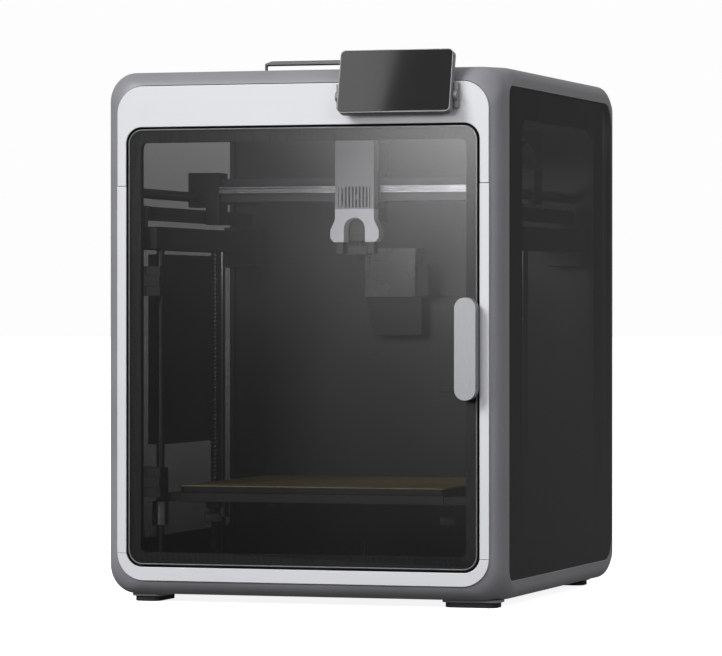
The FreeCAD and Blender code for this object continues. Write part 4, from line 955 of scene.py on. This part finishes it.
# strength of the surroundings as a light, from just under the horizon to just over it; rays
# are unit vectors, so heights are sines
HORIZON = {"From Min": -0.12, "From Max": 0.18, "To Min": 0.12, "To Max": 0.43}
FLOOR_REACH, FLOOR_THICK = 60, 0.02
CAMERA_PLACE, CAMERA_TURN = (1.2703, FRONT - 3.8092, 0.28205), 17.61
LENS, LENS_SHIFT, SENSOR, CLIP_END = 207.83, -0.0204, 36, 50


def studio_world():
    """Even white surroundings: full white behind the object, dimmer where they light it."""
    world = bpy.data.worlds.new("studio")
    world.use_nodes = True
    tree = world.node_tree
    tree.nodes.clear()
    seen = add_node(tree, "ShaderNodeLightPath").outputs["Is Camera Ray"]
    ray = add_node(tree, "ShaderNodeTexCoord").outputs["Generated"]
    height = add_node(tree, "ShaderNodeSeparateXYZ", {0: ray}).outputs[2]
    lit = add_node(tree, "ShaderNodeMapRange", {"Value": height, **HORIZON})
    strength = add_node(tree, "ShaderNodeMapRange",
                        {"Value": seen, "To Min": lit.outputs[0], "To Max": 1.0})
    sky = add_node(tree, "ShaderNodeBackground",
                   {"Color": linear("#FDFDFD"), "Strength": strength.outputs[0]})
    add_node(tree, "ShaderNodeOutputWorld", {"Surface": sky.outputs[0]})
    return world


class PRINTER_OT_stage(bpy.types.Operator):
    """Pale floor, soft studio light and the camera"""
    bl_idname = "printer.stage"
    bl_label = "Stage"

    def execute(self, context):
        reach = FLOOR_REACH
        ground = closed_tube("floor", np.array([
            [[-reach, -reach, z], [reach, -reach, z], [reach, reach, z], [-reach, reach, z]]
            for z in (-FLOOR_THICK, 0)], float))
        ground.materials.append(matt_white_paper())
        floor = bpy.data.objects.new("stage_floor", ground)
        context.scene.collection.objects.link(floor)
        floor.visible_diffuse = False
        floor.visible_glossy = False
        context.scene.world = studio_world()
        context.scene.view_settings.view_transform = "Standard"
        for name, place, aim, size, power, lights in LAMPS:
            lamp = bpy.data.lights.new(name, "AREA")
            lamp.shape = "RECTANGLE"
            lamp.size, lamp.size_y = size
            lamp.energy = power
            item = bpy.data.objects.new(name, lamp)
            item.location = place
            towards = Vector(aim) - Vector(place)
            item.rotation_euler = towards.to_track_quat("-Z", "Y").to_euler()
            item.visible_camera = False
            item.visible_diffuse = lights
            context.scene.collection.objects.link(item)
        eye = bpy.data.cameras.new("camera")
        eye.sensor_width = SENSOR
        eye.lens = LENS
        eye.shift_y = LENS_SHIFT
        eye.clip_end = CLIP_END
        camera = bpy.data.objects.new("camera", eye)
        camera.location = CAMERA_PLACE
        camera.rotation_euler = (QUARTER, 0, math.radians(CAMERA_TURN))
        context.scene.collection.objects.link(camera)
        context.scene.camera = camera
        return {"FINISHED"}


OPERATORS = (PRINTER_OT_case, PRINTER_OT_panels, PRINTER_OT_front, PRINTER_OT_door,
             PRINTER_OT_screen, PRINTER_OT_lid, PRINTER_OT_feet, PRINTER_OT_motion_frame,
             PRINTER_OT_gantry, PRINTER_OT_tool_head, PRINTER_OT_bed, PRINTER_OT_fittings,
             PRINTER_OT_stage)


class PRINTER_PT_panel(bpy.types.Panel):
    """The printer's sizes, colours and pieces"""
    bl_idname = "PRINTER_PT_panel"
    bl_label = "Filament printer"
    bl_space_type = "VIEW_3D"
    bl_region_type = "UI"
    bl_category = "Printer"

    def draw(self, context):
        for group in (context.scene.printer_sizes, context.scene.printer_colours):
            box = self.layout.box()
            for name in group.__annotations__:
                box.prop(group, name)
        for operator in OPERATORS:
            self.layout.operator(operator.bl_idname)


CLASSES = (PrinterSizes, PrinterColours, *OPERATORS, PRINTER_PT_panel)


def register():
    for item in CLASSES:
        bpy.utils.register_class(item)
    bpy.types.Scene.printer_sizes = PointerProperty(type=PrinterSizes)
    bpy.types.Scene.printer_colours = PointerProperty(type=PrinterColours)


def unregister():
    del bpy.types.Scene.printer_colours
    del bpy.types.Scene.printer_sizes
    for item in reversed(CLASSES):
        bpy.utils.unregister_class(item)


def main():
    register()
    for operator in OPERATORS:
        getattr(bpy.ops.printer, operator.bl_idname.split(".")[1])()


if __name__ == "__main__":
    main()
